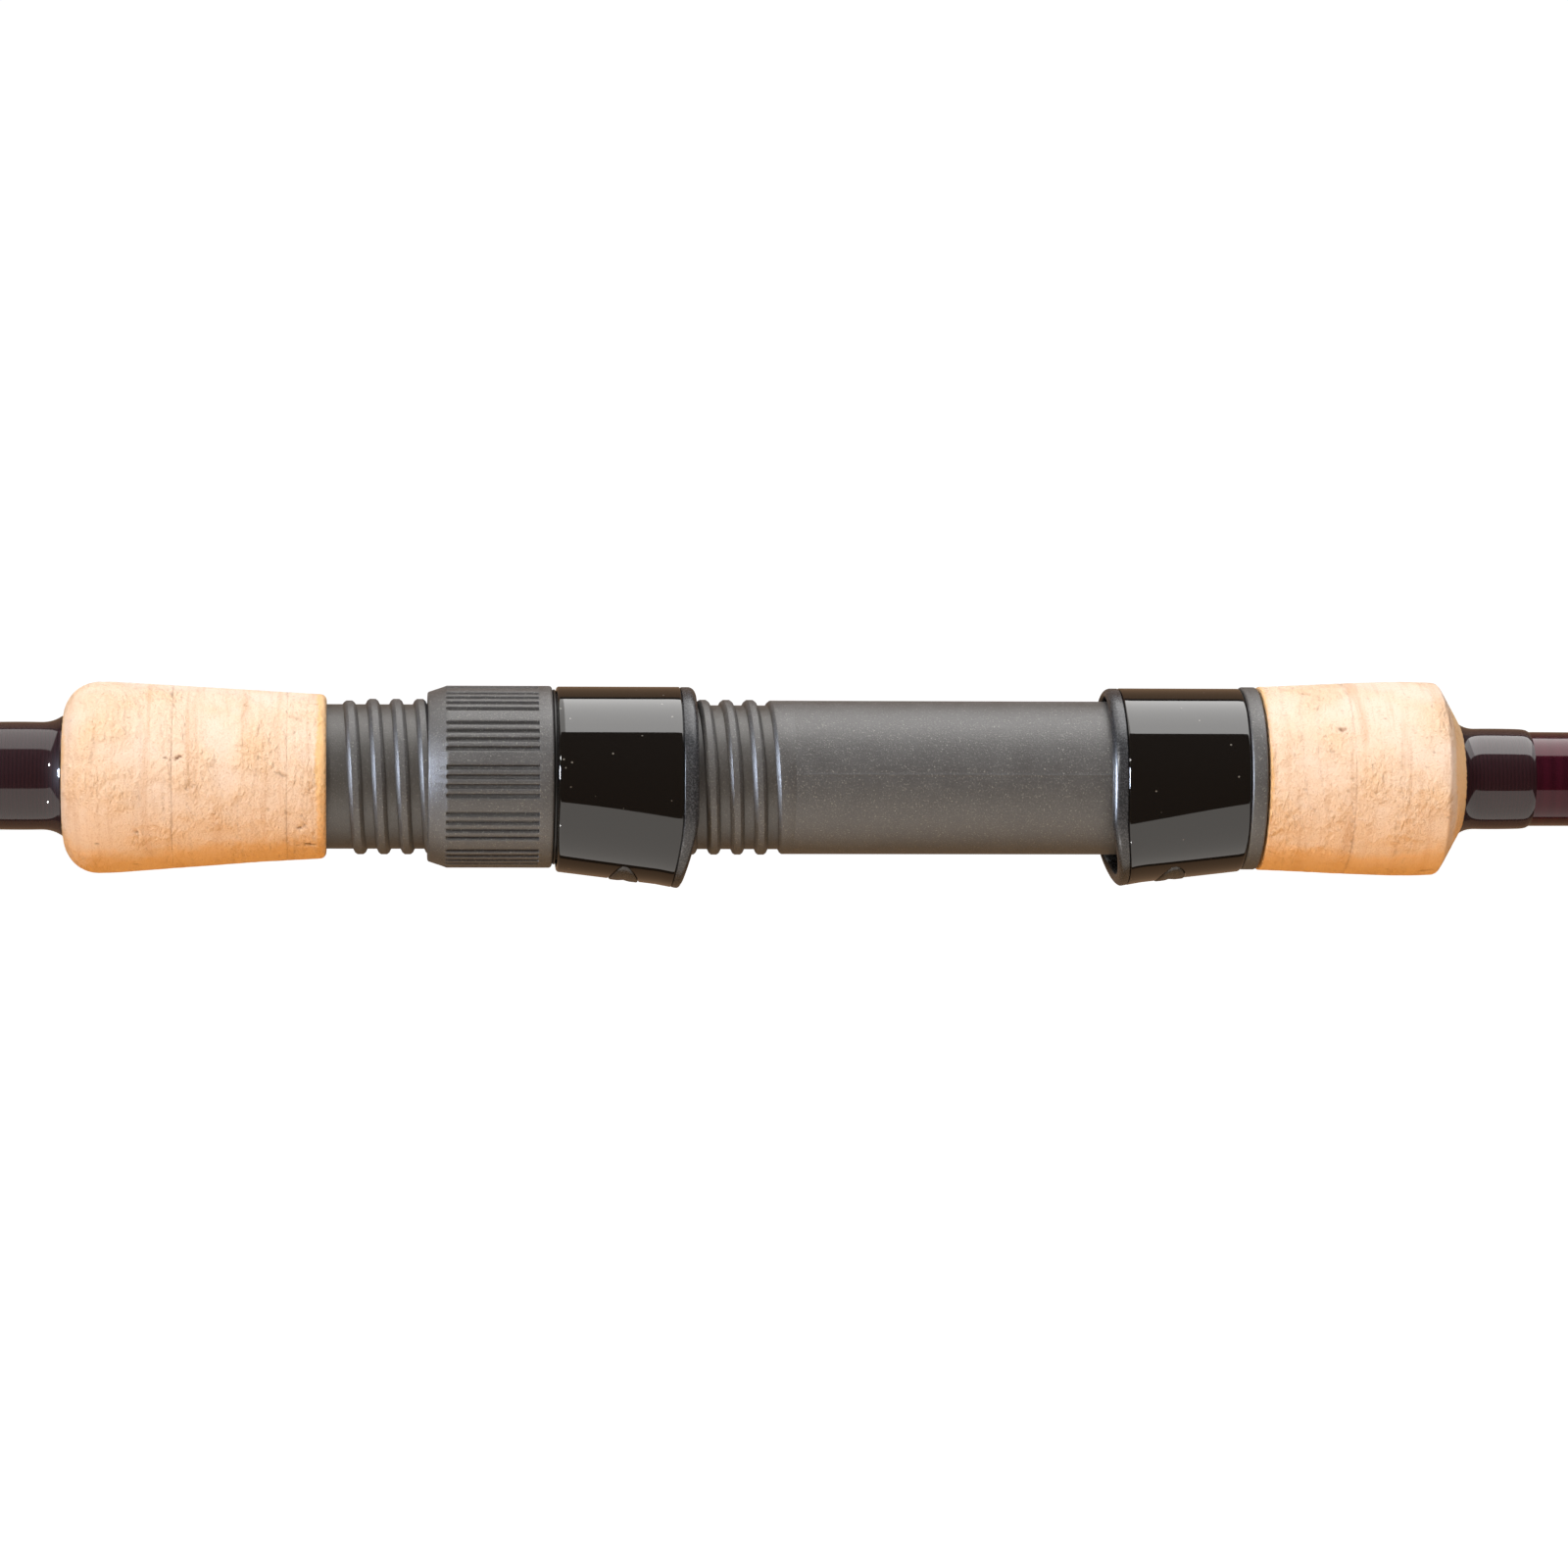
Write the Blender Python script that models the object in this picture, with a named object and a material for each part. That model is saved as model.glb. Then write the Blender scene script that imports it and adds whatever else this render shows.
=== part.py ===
"""Spinning rod: split cork handle, screw-down reel seat, one-piece blank and guides.

The blank lies along +X with the butt end at the origin and the tip at +X. +Z is up, so
the reel and the guides are on the -Z side. All sizes are in metres.
"""

import math

import bmesh
import bpy
from mathutils import Matrix, Vector

MM = 0.001

# Blank: a hollow graphite tube with a slow taper under the handle and a faster one ahead of it.
ROD_LENGTH = 1.830
BUTT_CAP_END = 0.008
BLANK_START = 0.0035
BLANK_TIP = ROD_LENGTH - 0.006
BLANK_RADII = ((BLANK_START, 6.1 * MM), (0.170, 5.75 * MM), (0.345, 5.38 * MM), (BLANK_TIP, 0.95 * MM))
BLANK_WALL_BUTT = 1.1 * MM
BLANK_WALL_TIP = 0.45 * MM
BLANK_SIDES = 16
GLUE_GAP = 0.06 * MM

# Handle stations along X, measured from the butt end face.
CORK_RING = 0.0127
BUTT_GRIP_RINGS = 7
BUTT_GRIP_START = BUTT_CAP_END + 0.0002
REAR_WRAP_START = 0.1664
REAR_GRIP_START = 0.1754
REAR_GRIP_END = 0.2049
FORE_GRIP_START = 0.3106
FORE_GRIP_END = 0.3334
FORE_WRAP_END = 0.3405
CORK_SIDES = 20

# Outside of each grip before its ends are rounded: distance from its start, and radius.
BUTT_GRIP_BODY = ((0.0, 11.9 * MM), (0.022, 12.6 * MM), (0.045, 11.9 * MM), (0.0769, 9.8 * MM),
                  (0.0889, 9.4 * MM))
REAR_GRIP_BODY = ((0.0, 10.62 * MM), (5.9 * MM, 10.57 * MM), (29.5 * MM, 9.22 * MM))
FORE_GRIP_BODY = ((0.0, 10.42 * MM), (9.7 * MM, 10.86 * MM), (16.0 * MM, 11.08 * MM),
                  (20.0 * MM, 11.02 * MM), (23.1 * MM, 10.6 * MM))
BUTT_GRIP_ROUNDS = (0.4 * MM, 3.2 * MM)
REAR_GRIP_ROUNDS = (4.1 * MM, 0.7 * MM)
FORE_GRIP_ROUNDS = (0.2 * MM, 0.2 * MM)
FORE_CHAMFER_FOOT = 6.3 * MM
FORE_CHAMFER_SLOPE = 1.75
FORE_CHAMFER_LENGTH = 2.65 * MM
REAR_GRIP_JOINT = 12.4 * MM
FORE_GRIP_JOINT = 9.7 * MM

# A winding's outside: share of its length from the thick end, and share of its build-up.
WINDING_OUTLINE = ((0.10, 0.62), (0.3, 0.45), (0.88, 0.4))
WINDING_EDGE = 0.16 * MM

# Reel seat: a threaded graphite tube whose rear skirt is let into the rear grip.
SEAT_SKIRT_START = 0.1920
THREAD_START = 0.2069
THREAD_END = 0.2563
FIXED_MOUTH = 0.2929
SEAT_FLANGE_START = 0.3086
SEAT_END = 0.3104
SEAT_BORE = 7.1 * MM
THREAD_ROOT = 8.15 * MM
THREAD_CREST = 8.77 * MM
BARREL_RADIUS = 8.70 * MM
BED_END = 0.2898
RELIEF_RADIUS = 8.62 * MM
FLANGE_RADIUS = 10.4 * MM
SEAT_CHAMFER = 0.3 * MM
PITCH = 2.66 * MM
THREAD_STEPS = 16
CREST_WIDTH = 1.05 * MM
THREAD_BASE = 1.60 * MM
THREAD_CLEARANCE = 0.14 * MM
RIDGE_AT_TOP = 0.21002
KEYWAY_WIDTH = 3.0 * MM
KEYWAY_FLOOR = 7.75 * MM
KEYWAY_END = 0.2635

# Lock nut and the hood that it drives.
NUT_START = 0.2162
NUT_CONE_END = 0.2183
NUT_KNURL_END = 0.2286
NUT_END = 0.2302
NUT_NECK_END = 0.2324
NUT_RADIUS = 10.28 * MM
NUT_FACE_RADIUS = 9.6 * MM
NUT_NECK_RADIUS = 9.35 * MM
NUT_BORE = 8.42 * MM
NUT_GROOVE = 9.04 * MM
KNURL_DEPTH = 0.32 * MM
KNURL_SLOTS = 60
KNURL_SKIP = 5
WASHER = (0.23025, 0.23060)
WASHER_RADII = (9.45 * MM, 9.95 * MM)

# Hoods: a glossy shell over a moulded liner whose rounded lip shows at the mouth.
HOOD_SIDES = 28
HOOD_START = 0.23070
HOOD_MOUTH = 0.24640
HOOD_LIP = 1.75 * MM
HOOD_RADIUS = 10.22 * MM
SHELL_WALL = 0.50 * MM
HOOD_GAP = 0.10 * MM
LINER_BORE = 9.20 * MM
SLIDING_LIFTS = (0.50 * MM, 2.45 * MM)
FIXED_LIFTS = (0.38 * MM, 2.15 * MM)
POCKET_DEPTH = 1.75 * MM
MOUTH_SETBACK = 1.6 * MM
SETBACK_TOP = -5.0 * MM
POCKET_CURVE = 1.3
SETBACK_REACH = 4.5 * MM
SETBACK_LOW = -12.2 * MM
SETBACK_CURVE = 1.2
SWELL_RATE = 1.5
HOOD_WAIST = 0.45
LIP_ROUND = 0.85 * MM
LUG_HALF = (1.30 * MM, 3.4 * MM)
LUG_RISE = 0.10 * MM
LUG_MARGIN = 0.12 * MM
HOOD_LUG_AT = 0.2382
FIXED_LUG_AT = 0.3007
KEY_END = 0.2362

# Guides: distance of each ring from the tip, ring inside radius, height of its centre
# below the blank's axis, and whether it stands on two feet.
GUIDES = (
    (1.041, 9.6 * MM, 27.0 * MM, True),
    (0.787, 6.0 * MM, 18.0 * MM, True),
    (0.572, 3.9 * MM, 12.5 * MM, False),
    (0.381, 2.6 * MM, 9.5 * MM, False),
    (0.229, 2.3 * MM, 8.2 * MM, False),
    (0.102, 2.1 * MM, 7.2 * MM, False),
)
GUIDE_WIRE = 0.55 * MM
FOOT_CLEARANCE = 0.12 * MM
BAND_WALL = 0.7 * MM
BAND_WIDTH = 1.2 * MM
CERAMIC_WIDTH = 1.6 * MM
RING_GAP = 0.08 * MM
TIP_RING_RADIUS = 2.0 * MM


def clear_scene():
    for leftover in list(bpy.data.objects):
        bpy.data.objects.remove(leftover, do_unlink=True)


def finish(name, red, green, blue, roughness, metallic=0.0):
    material = bpy.data.materials.new(name)
    material.use_nodes = True
    shader = material.node_tree.nodes["Principled BSDF"]
    shader.inputs["Base Color"].default_value = (red, green, blue, 1.0)
    shader.inputs["Roughness"].default_value = roughness
    shader.inputs["Metallic"].default_value = metallic
    return material


def make_finishes():
    return {
        "blank": finish("blank_lacquer", 0.020, 0.004, 0.007, 0.08),
        "winding": finish("winding_epoxy", 0.018, 0.007, 0.008, 0.06),
        "cork": finish("cork", 0.85, 0.58, 0.36, 0.75),
        "graphite": finish("seat_graphite", 0.115, 0.112, 0.105, 0.5),
        "gloss": finish("hood_gloss", 0.006, 0.006, 0.006, 0.05),
        "liner": finish("hood_liner", 0.045, 0.050, 0.058, 0.45),
        "rubber": finish("butt_rubber", 0.015, 0.015, 0.015, 0.7),
        "steel": finish("guide_steel", 0.55, 0.55, 0.56, 0.25, 1.0),
        "ceramic": finish("guide_ceramic", 0.05, 0.05, 0.055, 0.15),
        "filler": finish("arbor_foam", 0.25, 0.25, 0.22, 0.9),
        "washer": finish("washer_acetal", 0.01, 0.01, 0.01, 0.4),
    }


def blank_radius(x):
    for (x0, r0), (x1, r1) in zip(BLANK_RADII, BLANK_RADII[1:]):
        if x <= x1:
            break
    return r0 + (r1 - r0) * (x - x0) / (x1 - x0)


def place(bm, name, material, parent=None):
    bmesh.ops.recalc_face_normals(bm, faces=bm.faces)
    mesh = bpy.data.meshes.new(name)
    bm.to_mesh(mesh)
    bm.free()
    mesh.shade_smooth()
    mesh.set_sharp_from_angle(angle=math.radians(35))
    piece = bpy.data.objects.new(name, mesh)
    piece.data.materials.append(material)
    bpy.context.scene.collection.objects.link(piece)
    if parent:
        piece.parent = parent
    return piece


def turned_mesh(outline, sides, phase=0.5):
    """A closed outline of (x, r) points spun about the X axis. It starts phase facets from -Z."""
    bm = bmesh.new()
    first = Matrix.Rotation(2 * math.pi * phase / sides, 4, "X")
    points = [bm.verts.new(first @ Vector((x, 0.0, -r))) for x, r in outline]
    edges = [bm.edges.new((points[i], points[(i + 1) % len(points)])) for i in range(len(points))
             if outline[i][1] or outline[(i + 1) % len(points)][1]]
    bmesh.ops.spin(bm, geom=points + edges, cent=(0, 0, 0), axis=(1, 0, 0), angle=2 * math.pi,
                   steps=sides, use_merge=True)
    bmesh.ops.remove_doubles(bm, verts=bm.verts, dist=0.2e-6)
    return bm


def turned(name, outline, sides, material, parent=None):
    return place(turned_mesh(outline, sides), name, material, parent)


def arc(cx, cr, radius, start, end, steps):
    """Points on a round edge of an (x, r) outline, with angles in degrees from +X towards +r."""
    angles = [math.radians(start + (end - start) * i / steps) for i in range(steps + 1)]
    return [(cx + radius * math.cos(a), cr + radius * math.sin(a)) for a in angles]


def boolean(piece, cutter, operation):
    modifier = piece.modifiers.new(operation.lower(), "BOOLEAN")
    modifier.operation = operation
    modifier.solver = "EXACT"
    modifier.object = cutter
    cutter.hide_render = True
    cutter.display_type = "WIRE"


def box(name, low, high, material, parent=None):
    bm = bmesh.new()
    bmesh.ops.create_cube(bm, size=1.0)
    size = Vector(high) - Vector(low)
    bmesh.ops.scale(bm, vec=size, verts=bm.verts)
    bmesh.ops.translate(bm, vec=Vector(low) + size / 2, verts=bm.verts)
    return place(bm, name, material, parent)


# Blank, butt cap and grips

def make_blank(paints):
    outer = list(BLANK_RADII[:3])
    steps = 6
    x_fore, x_tip = BLANK_RADII[2][0], BLANK_TIP
    outer += [(x_fore + (x_tip - x_fore) * i / steps, blank_radius(x_fore + (x_tip - x_fore) * i / steps))
              for i in range(1, steps + 1)]
    bore = [(BLANK_TIP, 0.95 * MM - BLANK_WALL_TIP), (0.345, 5.38 * MM - BLANK_WALL_BUTT),
            (BLANK_START, 6.1 * MM - BLANK_WALL_BUTT)]
    return turned("blank", outer + bore, BLANK_SIDES, paints["blank"])


def make_butt_cap(paints):
    cap_radius, edge, plug_radius, plug_end, seat = 12.4 * MM, 2.6 * MM, 4.8 * MM, 0.020, 0.0032
    outline = [(0.0, 0.0)] + arc(edge, cap_radius - edge, edge, 180, 90, 5)
    outline += [(BUTT_CAP_END - 0.6 * MM, cap_radius), (BUTT_CAP_END, cap_radius - 0.6 * MM),
                (BUTT_CAP_END, 6.4 * MM), (seat, 6.4 * MM), (seat, plug_radius),
                (plug_end, plug_radius - 0.2 * MM), (plug_end, 0.0)]
    return turned("butt_cap", outline, CORK_SIDES, paints["rubber"])


def grip_rings(name, start, end, joints, radius_at, bore_at, paints, detail):
    """Cork rings glued face to face: joints are the glue lines between start and end."""
    stations = [start] + joints + [end]
    for number, (x0, x1) in enumerate(zip(stations, stations[1:]), 1):
        low, high = x0 + GLUE_GAP / 2, x1 - GLUE_GAP / 2
        spots = sorted({low, high} | {x for x in detail if low < x < high})
        outside = [(x, radius_at(x)) for x in spots]
        turned(f"{name}_ring_{number}", outside + bore_at(low, high), CORK_SIDES, paints["cork"])


def round_bore(radius, sides, shaft_sides=0):
    """Corner radius of a bore with this many sides that just clears a shaft of this radius."""
    return radius + GLUE_GAP if sides == shaft_sides else (radius + GLUE_GAP) / math.cos(math.pi / sides)


def blank_bore(low, high, sides=CORK_SIDES):
    return [(x, round_bore(blank_radius(x), sides, BLANK_SIDES)) for x in (high, low)]


def eased(x, points):
    """Height at x on straight lines through (x, r) points."""
    for (x0, r0), (x1, r1) in zip(points, points[1:]):
        if x <= x1:
            break
    return r0 + (r1 - r0) * min(max((x - x0) / (x1 - x0), 0.0), 1.0)


def grip_profile(start, end, body, rounds):
    """Radius of a grip as a function of x, and the stations that its outline needs."""
    rear, front = rounds

    def radius_at(x):
        drop = 0.0
        if x < start + rear:
            drop = rear - math.sqrt(max(rear ** 2 - (start + rear - x) ** 2, 0.0))
        if x > end - front:
            drop = front - math.sqrt(max(front ** 2 - (x - end + front) ** 2, 0.0))
        return eased(x - start, body) - drop

    corners = [start + rear * share for share in (0.07, 0.3, 0.6, 1.0)]
    corners += [end - front * share for share in (1.0, 0.5, 0.15)]
    return radius_at, [start + along for along, _ in body] + corners


def make_butt_grip(paints):
    start = BUTT_GRIP_START
    end = start + BUTT_GRIP_RINGS * CORK_RING
    radius_at, detail = grip_profile(start, end, BUTT_GRIP_BODY, BUTT_GRIP_ROUNDS)
    joints = [start + i * CORK_RING for i in range(1, BUTT_GRIP_RINGS)]
    grip_rings("butt_grip", start, end, joints, radius_at, blank_bore, paints, detail)
    make_winding("butt_grip_wrap", end + 0.1 * MM, end + 0.0088, 0.9 * MM, True, paints)


def make_rear_grip(paints):
    start, end = REAR_GRIP_START, REAR_GRIP_END
    radius_at, detail = grip_profile(start, end, REAR_GRIP_BODY, REAR_GRIP_ROUNDS)

    def bore_at(low, high):
        skirt = round_bore(THREAD_ROOT, CORK_SIDES)
        if high <= SEAT_SKIRT_START:
            return blank_bore(low, high)
        if low >= SEAT_SKIRT_START:
            return [(high, skirt), (low, skirt)]
        step = SEAT_SKIRT_START - 0.3 * MM
        return [(high, skirt), (step, skirt)] + blank_bore(low, step)

    joints = [start + REAR_GRIP_JOINT, start + REAR_GRIP_JOINT + CORK_RING]
    grip_rings("rear_grip", start, end, joints, radius_at, bore_at, paints, detail)


def make_fore_grip(paints):
    start, end = FORE_GRIP_START, FORE_GRIP_END
    radius_at, detail = grip_profile(start, end, FORE_GRIP_BODY, FORE_GRIP_ROUNDS)

    def chamfered(x):
        return min(radius_at(x), FORE_CHAMFER_FOOT + FORE_CHAMFER_SLOPE * (end - x))

    detail.append(end - FORE_CHAMFER_LENGTH)
    grip_rings("fore_grip", start, end, [start + FORE_GRIP_JOINT], chamfered, blank_bore, paints, detail)


def make_winding(name, low, high, build_up, flare_low, paints, flare=0.8 * MM):
    """A thread winding under epoxy, flared where it meets a grip and feathered at its free end."""
    thickness = build_up if flare_low else build_up * 0.8
    spans = [(0.0, thickness + flare)] + [(share, thickness * part) for share, part in WINDING_OUTLINE]
    spans.append((1.0, WINDING_EDGE))
    if not flare_low:
        spans = [(1 - share, height) for share, height in reversed(spans)]
    outside = [(low + (high - low) * share, blank_radius(low + (high - low) * share) + height)
               for share, height in spans]
    return turned(name, outside + blank_bore(low, high, BLANK_SIDES), BLANK_SIDES, paints["winding"])


# Reel seat

def ridge_mesh(low, high, base, crest, base_width, crest_width, fade):
    """A right-hand helical ridge about X, of trapezium section, whose ends sink below the surface."""
    bm = bmesh.new()
    turn_angle = 2 * math.pi
    step = PITCH / THREAD_STEPS
    low = RIDGE_AT_TOP + round((low - RIDGE_AT_TOP) / step) * step
    count = int(round((high - low) / step))
    at_top = turn_angle / 4
    previous = None
    for i in range(count + 1):
        x = low + i * step
        angle = at_top + turn_angle * (x - RIDGE_AT_TOP) / PITCH
        ends = min(i, count - i) / (fade * THREAD_STEPS) if fade else 1.0
        height = base + (crest - base) * min(ends, 1.0)
        section = ((x - base_width / 2, base), (x - crest_width / 2, height),
                   (x + crest_width / 2, height), (x + base_width / 2, base))
        ring = [bm.verts.new((sx, sr * math.cos(angle), sr * math.sin(angle))) for sx, sr in section]
        if previous:
            for j in range(4):
                bm.faces.new((previous[j], previous[(j + 1) % 4], ring[(j + 1) % 4], ring[j]))
        else:
            bm.faces.new(ring)
        previous = ring
        if fade and height <= base:
            previous[1].co.x, previous[2].co.x = x - 0.4 * base_width, x + 0.4 * base_width
            for vertex in previous[1:3]:
                radial = Vector((0.0, vertex.co.y, vertex.co.z)).normalized() * (base + 0.12 * MM)
                vertex.co.y, vertex.co.z = radial.y, radial.z
    bm.faces.new(reversed(previous))
    return bm


def make_reel_seat(paints):
    # The barrel is eased by RELIEF_RADIUS past BED_END, so that the foot's bed ends clear of the hood.
    outline = [(SEAT_SKIRT_START, THREAD_ROOT), (THREAD_END - SEAT_CHAMFER, THREAD_ROOT),
               (THREAD_END, BARREL_RADIUS), (BED_END, BARREL_RADIUS),
               (BED_END + SEAT_CHAMFER, RELIEF_RADIUS), (SEAT_FLANGE_START, RELIEF_RADIUS),
               (SEAT_FLANGE_START, FLANGE_RADIUS), (SEAT_END - SEAT_CHAMFER, FLANGE_RADIUS),
               (SEAT_END, FLANGE_RADIUS - SEAT_CHAMFER), (SEAT_END, SEAT_BORE),
               (SEAT_SKIRT_START, SEAT_BORE)]
    seat = turned("reel_seat", outline, THREAD_STEPS, paints["graphite"])
    sunk = 0.35 * MM
    spread = THREAD_BASE + (THREAD_BASE - CREST_WIDTH) * sunk / (THREAD_CREST - THREAD_ROOT)
    ridge = place(ridge_mesh(THREAD_START, THREAD_END - 0.2 * MM, THREAD_ROOT - sunk, THREAD_CREST,
                             spread, CREST_WIDTH, 0.3), "thread_ridge", paints["graphite"])
    boolean(seat, ridge, "UNION")
    keyway = box("keyway_cutter", (THREAD_START - 1.0 * MM, KEYWAY_FLOOR, -KEYWAY_WIDTH / 2),
                 (KEYWAY_END, THREAD_CREST + 2 * MM, KEYWAY_WIDTH / 2), paints["graphite"])
    boolean(seat, keyway, "DIFFERENCE")
    return seat


def make_arbors(paints):
    for number, (low, high) in enumerate(((0.1955, 0.2135), (0.2400, 0.2620), (0.2880, 0.3060)), 1):
        outer = SEAT_BORE - GLUE_GAP
        turned(f"seat_arbor_{number}", [(low, outer), (high, outer)] + blank_bore(low, high, THREAD_STEPS),
               THREAD_STEPS, paints["filler"])


def make_lock_nut(paints, spinner):
    """The nut's outside is cut by knurl slots in groups of four, with every fifth one left out."""
    bm = bmesh.new()
    slot_angle = 2 * math.pi / KNURL_SLOTS
    slot_half = 0.30 * slot_angle
    angles = []
    for slot in range(KNURL_SLOTS):
        middle = slot * slot_angle
        cut = slot % KNURL_SKIP != 0
        if cut:
            angles += [(middle - slot_half, 0.0), (middle, KNURL_DEPTH), (middle + slot_half, 0.0)]
        else:
            angles.append((middle, 0.0))
    levels = ((NUT_START, NUT_FACE_RADIUS, 0.0), (NUT_CONE_END, NUT_RADIUS, 1.0),
              (NUT_KNURL_END, NUT_RADIUS, 1.0), (NUT_KNURL_END + 0.1 * MM, NUT_RADIUS, 0.0),
              (NUT_END, NUT_RADIUS, 0.0))
    rings = []
    for x, radius, share in levels:
        ring = []
        for angle, depth in angles:
            r = radius - depth * share
            ring.append(bm.verts.new((x, r * math.cos(angle), r * math.sin(angle))))
        rings.append(ring)
    for low, high in zip(rings, rings[1:]):
        for i in range(len(low)):
            j = (i + 1) % len(low)
            bm.faces.new((low[i], low[j], high[j], high[i]))
    bm.faces.new(rings[0])
    bm.faces.new(reversed(rings[-1]))
    nut = place(bm, "lock_nut", paints["graphite"], spinner)
    neck = turned("nut_neck_core", [(NUT_END - 1.0 * MM, 0.0), (NUT_END - 1.0 * MM, NUT_NECK_RADIUS),
                                    (NUT_NECK_END, NUT_NECK_RADIUS), (NUT_NECK_END, 0.0)],
                  THREAD_STEPS, paints["graphite"])
    boolean(nut, neck, "UNION")
    reach = 2 * MM
    bore = turned("nut_bore_cutter", [(NUT_START - reach, 0.0), (NUT_START - reach, NUT_BORE),
                                      (NUT_END, NUT_BORE), (NUT_END, NUT_GROOVE),
                                      (NUT_NECK_END + reach, NUT_GROOVE), (NUT_NECK_END + reach, 0.0)],
                  THREAD_STEPS, paints["graphite"])
    boolean(nut, bore, "DIFFERENCE")
    sunk = NUT_BORE - 0.35 * MM
    slope = (THREAD_BASE - CREST_WIDTH) / (THREAD_CREST - THREAD_ROOT)
    wide = THREAD_BASE + slope * (THREAD_ROOT - sunk) + 2 * THREAD_CLEARANCE
    narrow = CREST_WIDTH - slope * (NUT_GROOVE - THREAD_CREST) + 2 * THREAD_CLEARANCE
    groove = place(ridge_mesh(NUT_START - 1.5 * PITCH, NUT_END + 1.5 * PITCH, sunk, NUT_GROOVE, wide, narrow,
                              0.0), "nut_groove_cutter", paints["graphite"])
    boolean(nut, groove, "DIFFERENCE")
    return nut


def bump(z, y):
    """How much of the hood's foot-side swelling there is in this direction: all of it at -Z."""
    below = math.asin(max(0.0, -z / math.hypot(y, z)))
    return math.sin(min(SWELL_RATE * below, math.pi / 2)) ** 2


def shape_hood(bm, mouth, inward, lift_of):
    """Swells a turned hood towards -Z by lift_of(x, r) and sets its mouth back on the foot side.

    inward is +1 where the mouth faces +X and -1 where it faces -X.
    """
    for vertex in bm.verts:
        x, y, z = vertex.co
        r = math.hypot(y, z)
        grown = r + lift_of(x, r) * bump(z, y)
        new_y, new_z = y * grown / r, z * grown / r
        near = min(max(1 - (mouth - x) * inward / SETBACK_REACH, 0.0), 1.0)
        low = min(max((SETBACK_TOP - new_z) / (SETBACK_TOP - SETBACK_LOW), 0.0), 1.0)
        vertex.co = (x - inward * MOUTH_SETBACK * near * low ** SETBACK_CURVE, new_y, new_z)


def hood_pieces(name, back, mouth, recess, lug_x, lifts, paints, parent=None, seat_grip=0.0):
    """Shell and liner of one hood. back is its closed end, recess where the liner starts.

    lifts are how far the hood is swelled towards -Z at its back and at its mouth.

    The fixed hood's liner grips the barrel over seat_grip. A sliding hood, with none, has a key.
    """
    inward = 1 if mouth > back else -1
    length = abs(mouth - back)

    def at(distance):
        return back + inward * distance

    def lift_outer(x, r):
        share = min(max((x - back) * inward / length, 0.0), 1.0)
        return lifts[0] + (lifts[1] - lifts[0]) * share

    def lift_liner(x, r):
        outer = lift_outer(x, r)
        share = min(max((x - back) * inward / length, 0.0), 1.0)
        inside = (r - LINER_BORE) / (HOOD_RADIUS - SHELL_WALL - LINER_BORE)
        bore_lift = min(POCKET_DEPTH * share ** POCKET_CURVE, outer)
        return bore_lift + (outer - bore_lift) * min(max(inside, 0.0), 1.0)

    shell_end = length - HOOD_LIP
    edge = 0.25 * MM
    inner = HOOD_RADIUS - SHELL_WALL
    shell = [(at(0), inner), (at(0), HOOD_RADIUS - edge), (at(edge), HOOD_RADIUS),
             (at(length * HOOD_WAIST), HOOD_RADIUS), (at(shell_end - edge), HOOD_RADIUS),
             (at(shell_end), HOOD_RADIUS - edge), (at(shell_end), inner), (at(length * HOOD_WAIST), inner)]
    bm = turned_mesh(shell, HOOD_SIDES)
    shape_hood(bm, mouth, inward, lift_outer)
    shell_piece = place(bm, f"{name}_shell", paints["gloss"], parent)

    liner_out = inner - HOOD_GAP
    lip_out = HOOD_RADIUS - 0.02 * MM
    lip_start = shell_end + HOOD_GAP
    lip = [(lip_start, liner_out), (lip_start, lip_out)]
    lip += [(length - LIP_ROUND + LIP_ROUND * math.cos(a), lip_out - LIP_ROUND + LIP_ROUND * math.sin(a))
            for a in (math.radians(90 - 22.5 * i) for i in range(5))]
    lip += [(length - 0.15 * MM, LINER_BORE)]
    liner = [(at(recess), LINER_BORE), (at(recess), liner_out), (at(length * HOOD_WAIST), liner_out)]
    liner += [(at(d), r) for d, r in lip] + [(at(length * HOOD_WAIST), LINER_BORE)]
    if seat_grip:
        fit = round_bore(BARREL_RADIUS, HOOD_SIDES)
        liner[0] = (at(recess), fit)
        liner += [(at(seat_grip + 0.4 * MM), LINER_BORE), (at(seat_grip), fit)]
    bm = turned_mesh(liner, HOOD_SIDES)
    shape_hood(bm, mouth, inward, lift_liner)
    liner_piece = place(bm, f"{name}_liner", paints["liner"], parent)

    window_low = 16 * MM
    cut_oval(shell_piece, f"{name}_lug_window", lug_x, LUG_MARGIN, inner - 0.45 * MM, window_low, paints,
             "DIFFERENCE")
    lug_low = HOOD_RADIUS + lift_outer(lug_x, 0) + LUG_RISE
    cut_oval(liner_piece, f"{name}_lug", lug_x, 0.0, inner + 0.65 * MM, lug_low, paints, "UNION")
    if not seat_grip:
        key_side = KEYWAY_WIDTH / 2 - 0.15 * MM
        block = box(f"{name}_key", (at(recess) + 0.4 * MM, KEYWAY_FLOOR + 0.2 * MM, -key_side),
                    (KEY_END, LINER_BORE + 0.2 * MM, key_side), paints["liner"])
        boolean(liner_piece, block, "UNION")
    return shell_piece, liner_piece


def cut_oval(piece, name, x, margin, high, low, paints, operation):
    """An oval block from high to low below the axis: it cuts the shell's window or forms the lug."""
    half_x, half_y = LUG_HALF[0] + margin, LUG_HALF[1] + margin
    bm = bmesh.new()
    bmesh.ops.create_cone(bm, cap_ends=True, segments=16, radius1=1.0, radius2=1.0, depth=1.0)
    bmesh.ops.scale(bm, vec=(half_x, half_y, low - high), verts=bm.verts)
    bmesh.ops.translate(bm, vec=(x, 0, -(high + low) / 2), verts=bm.verts)
    boolean(piece, place(bm, name, paints["liner"]), operation)


# Guides

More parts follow.
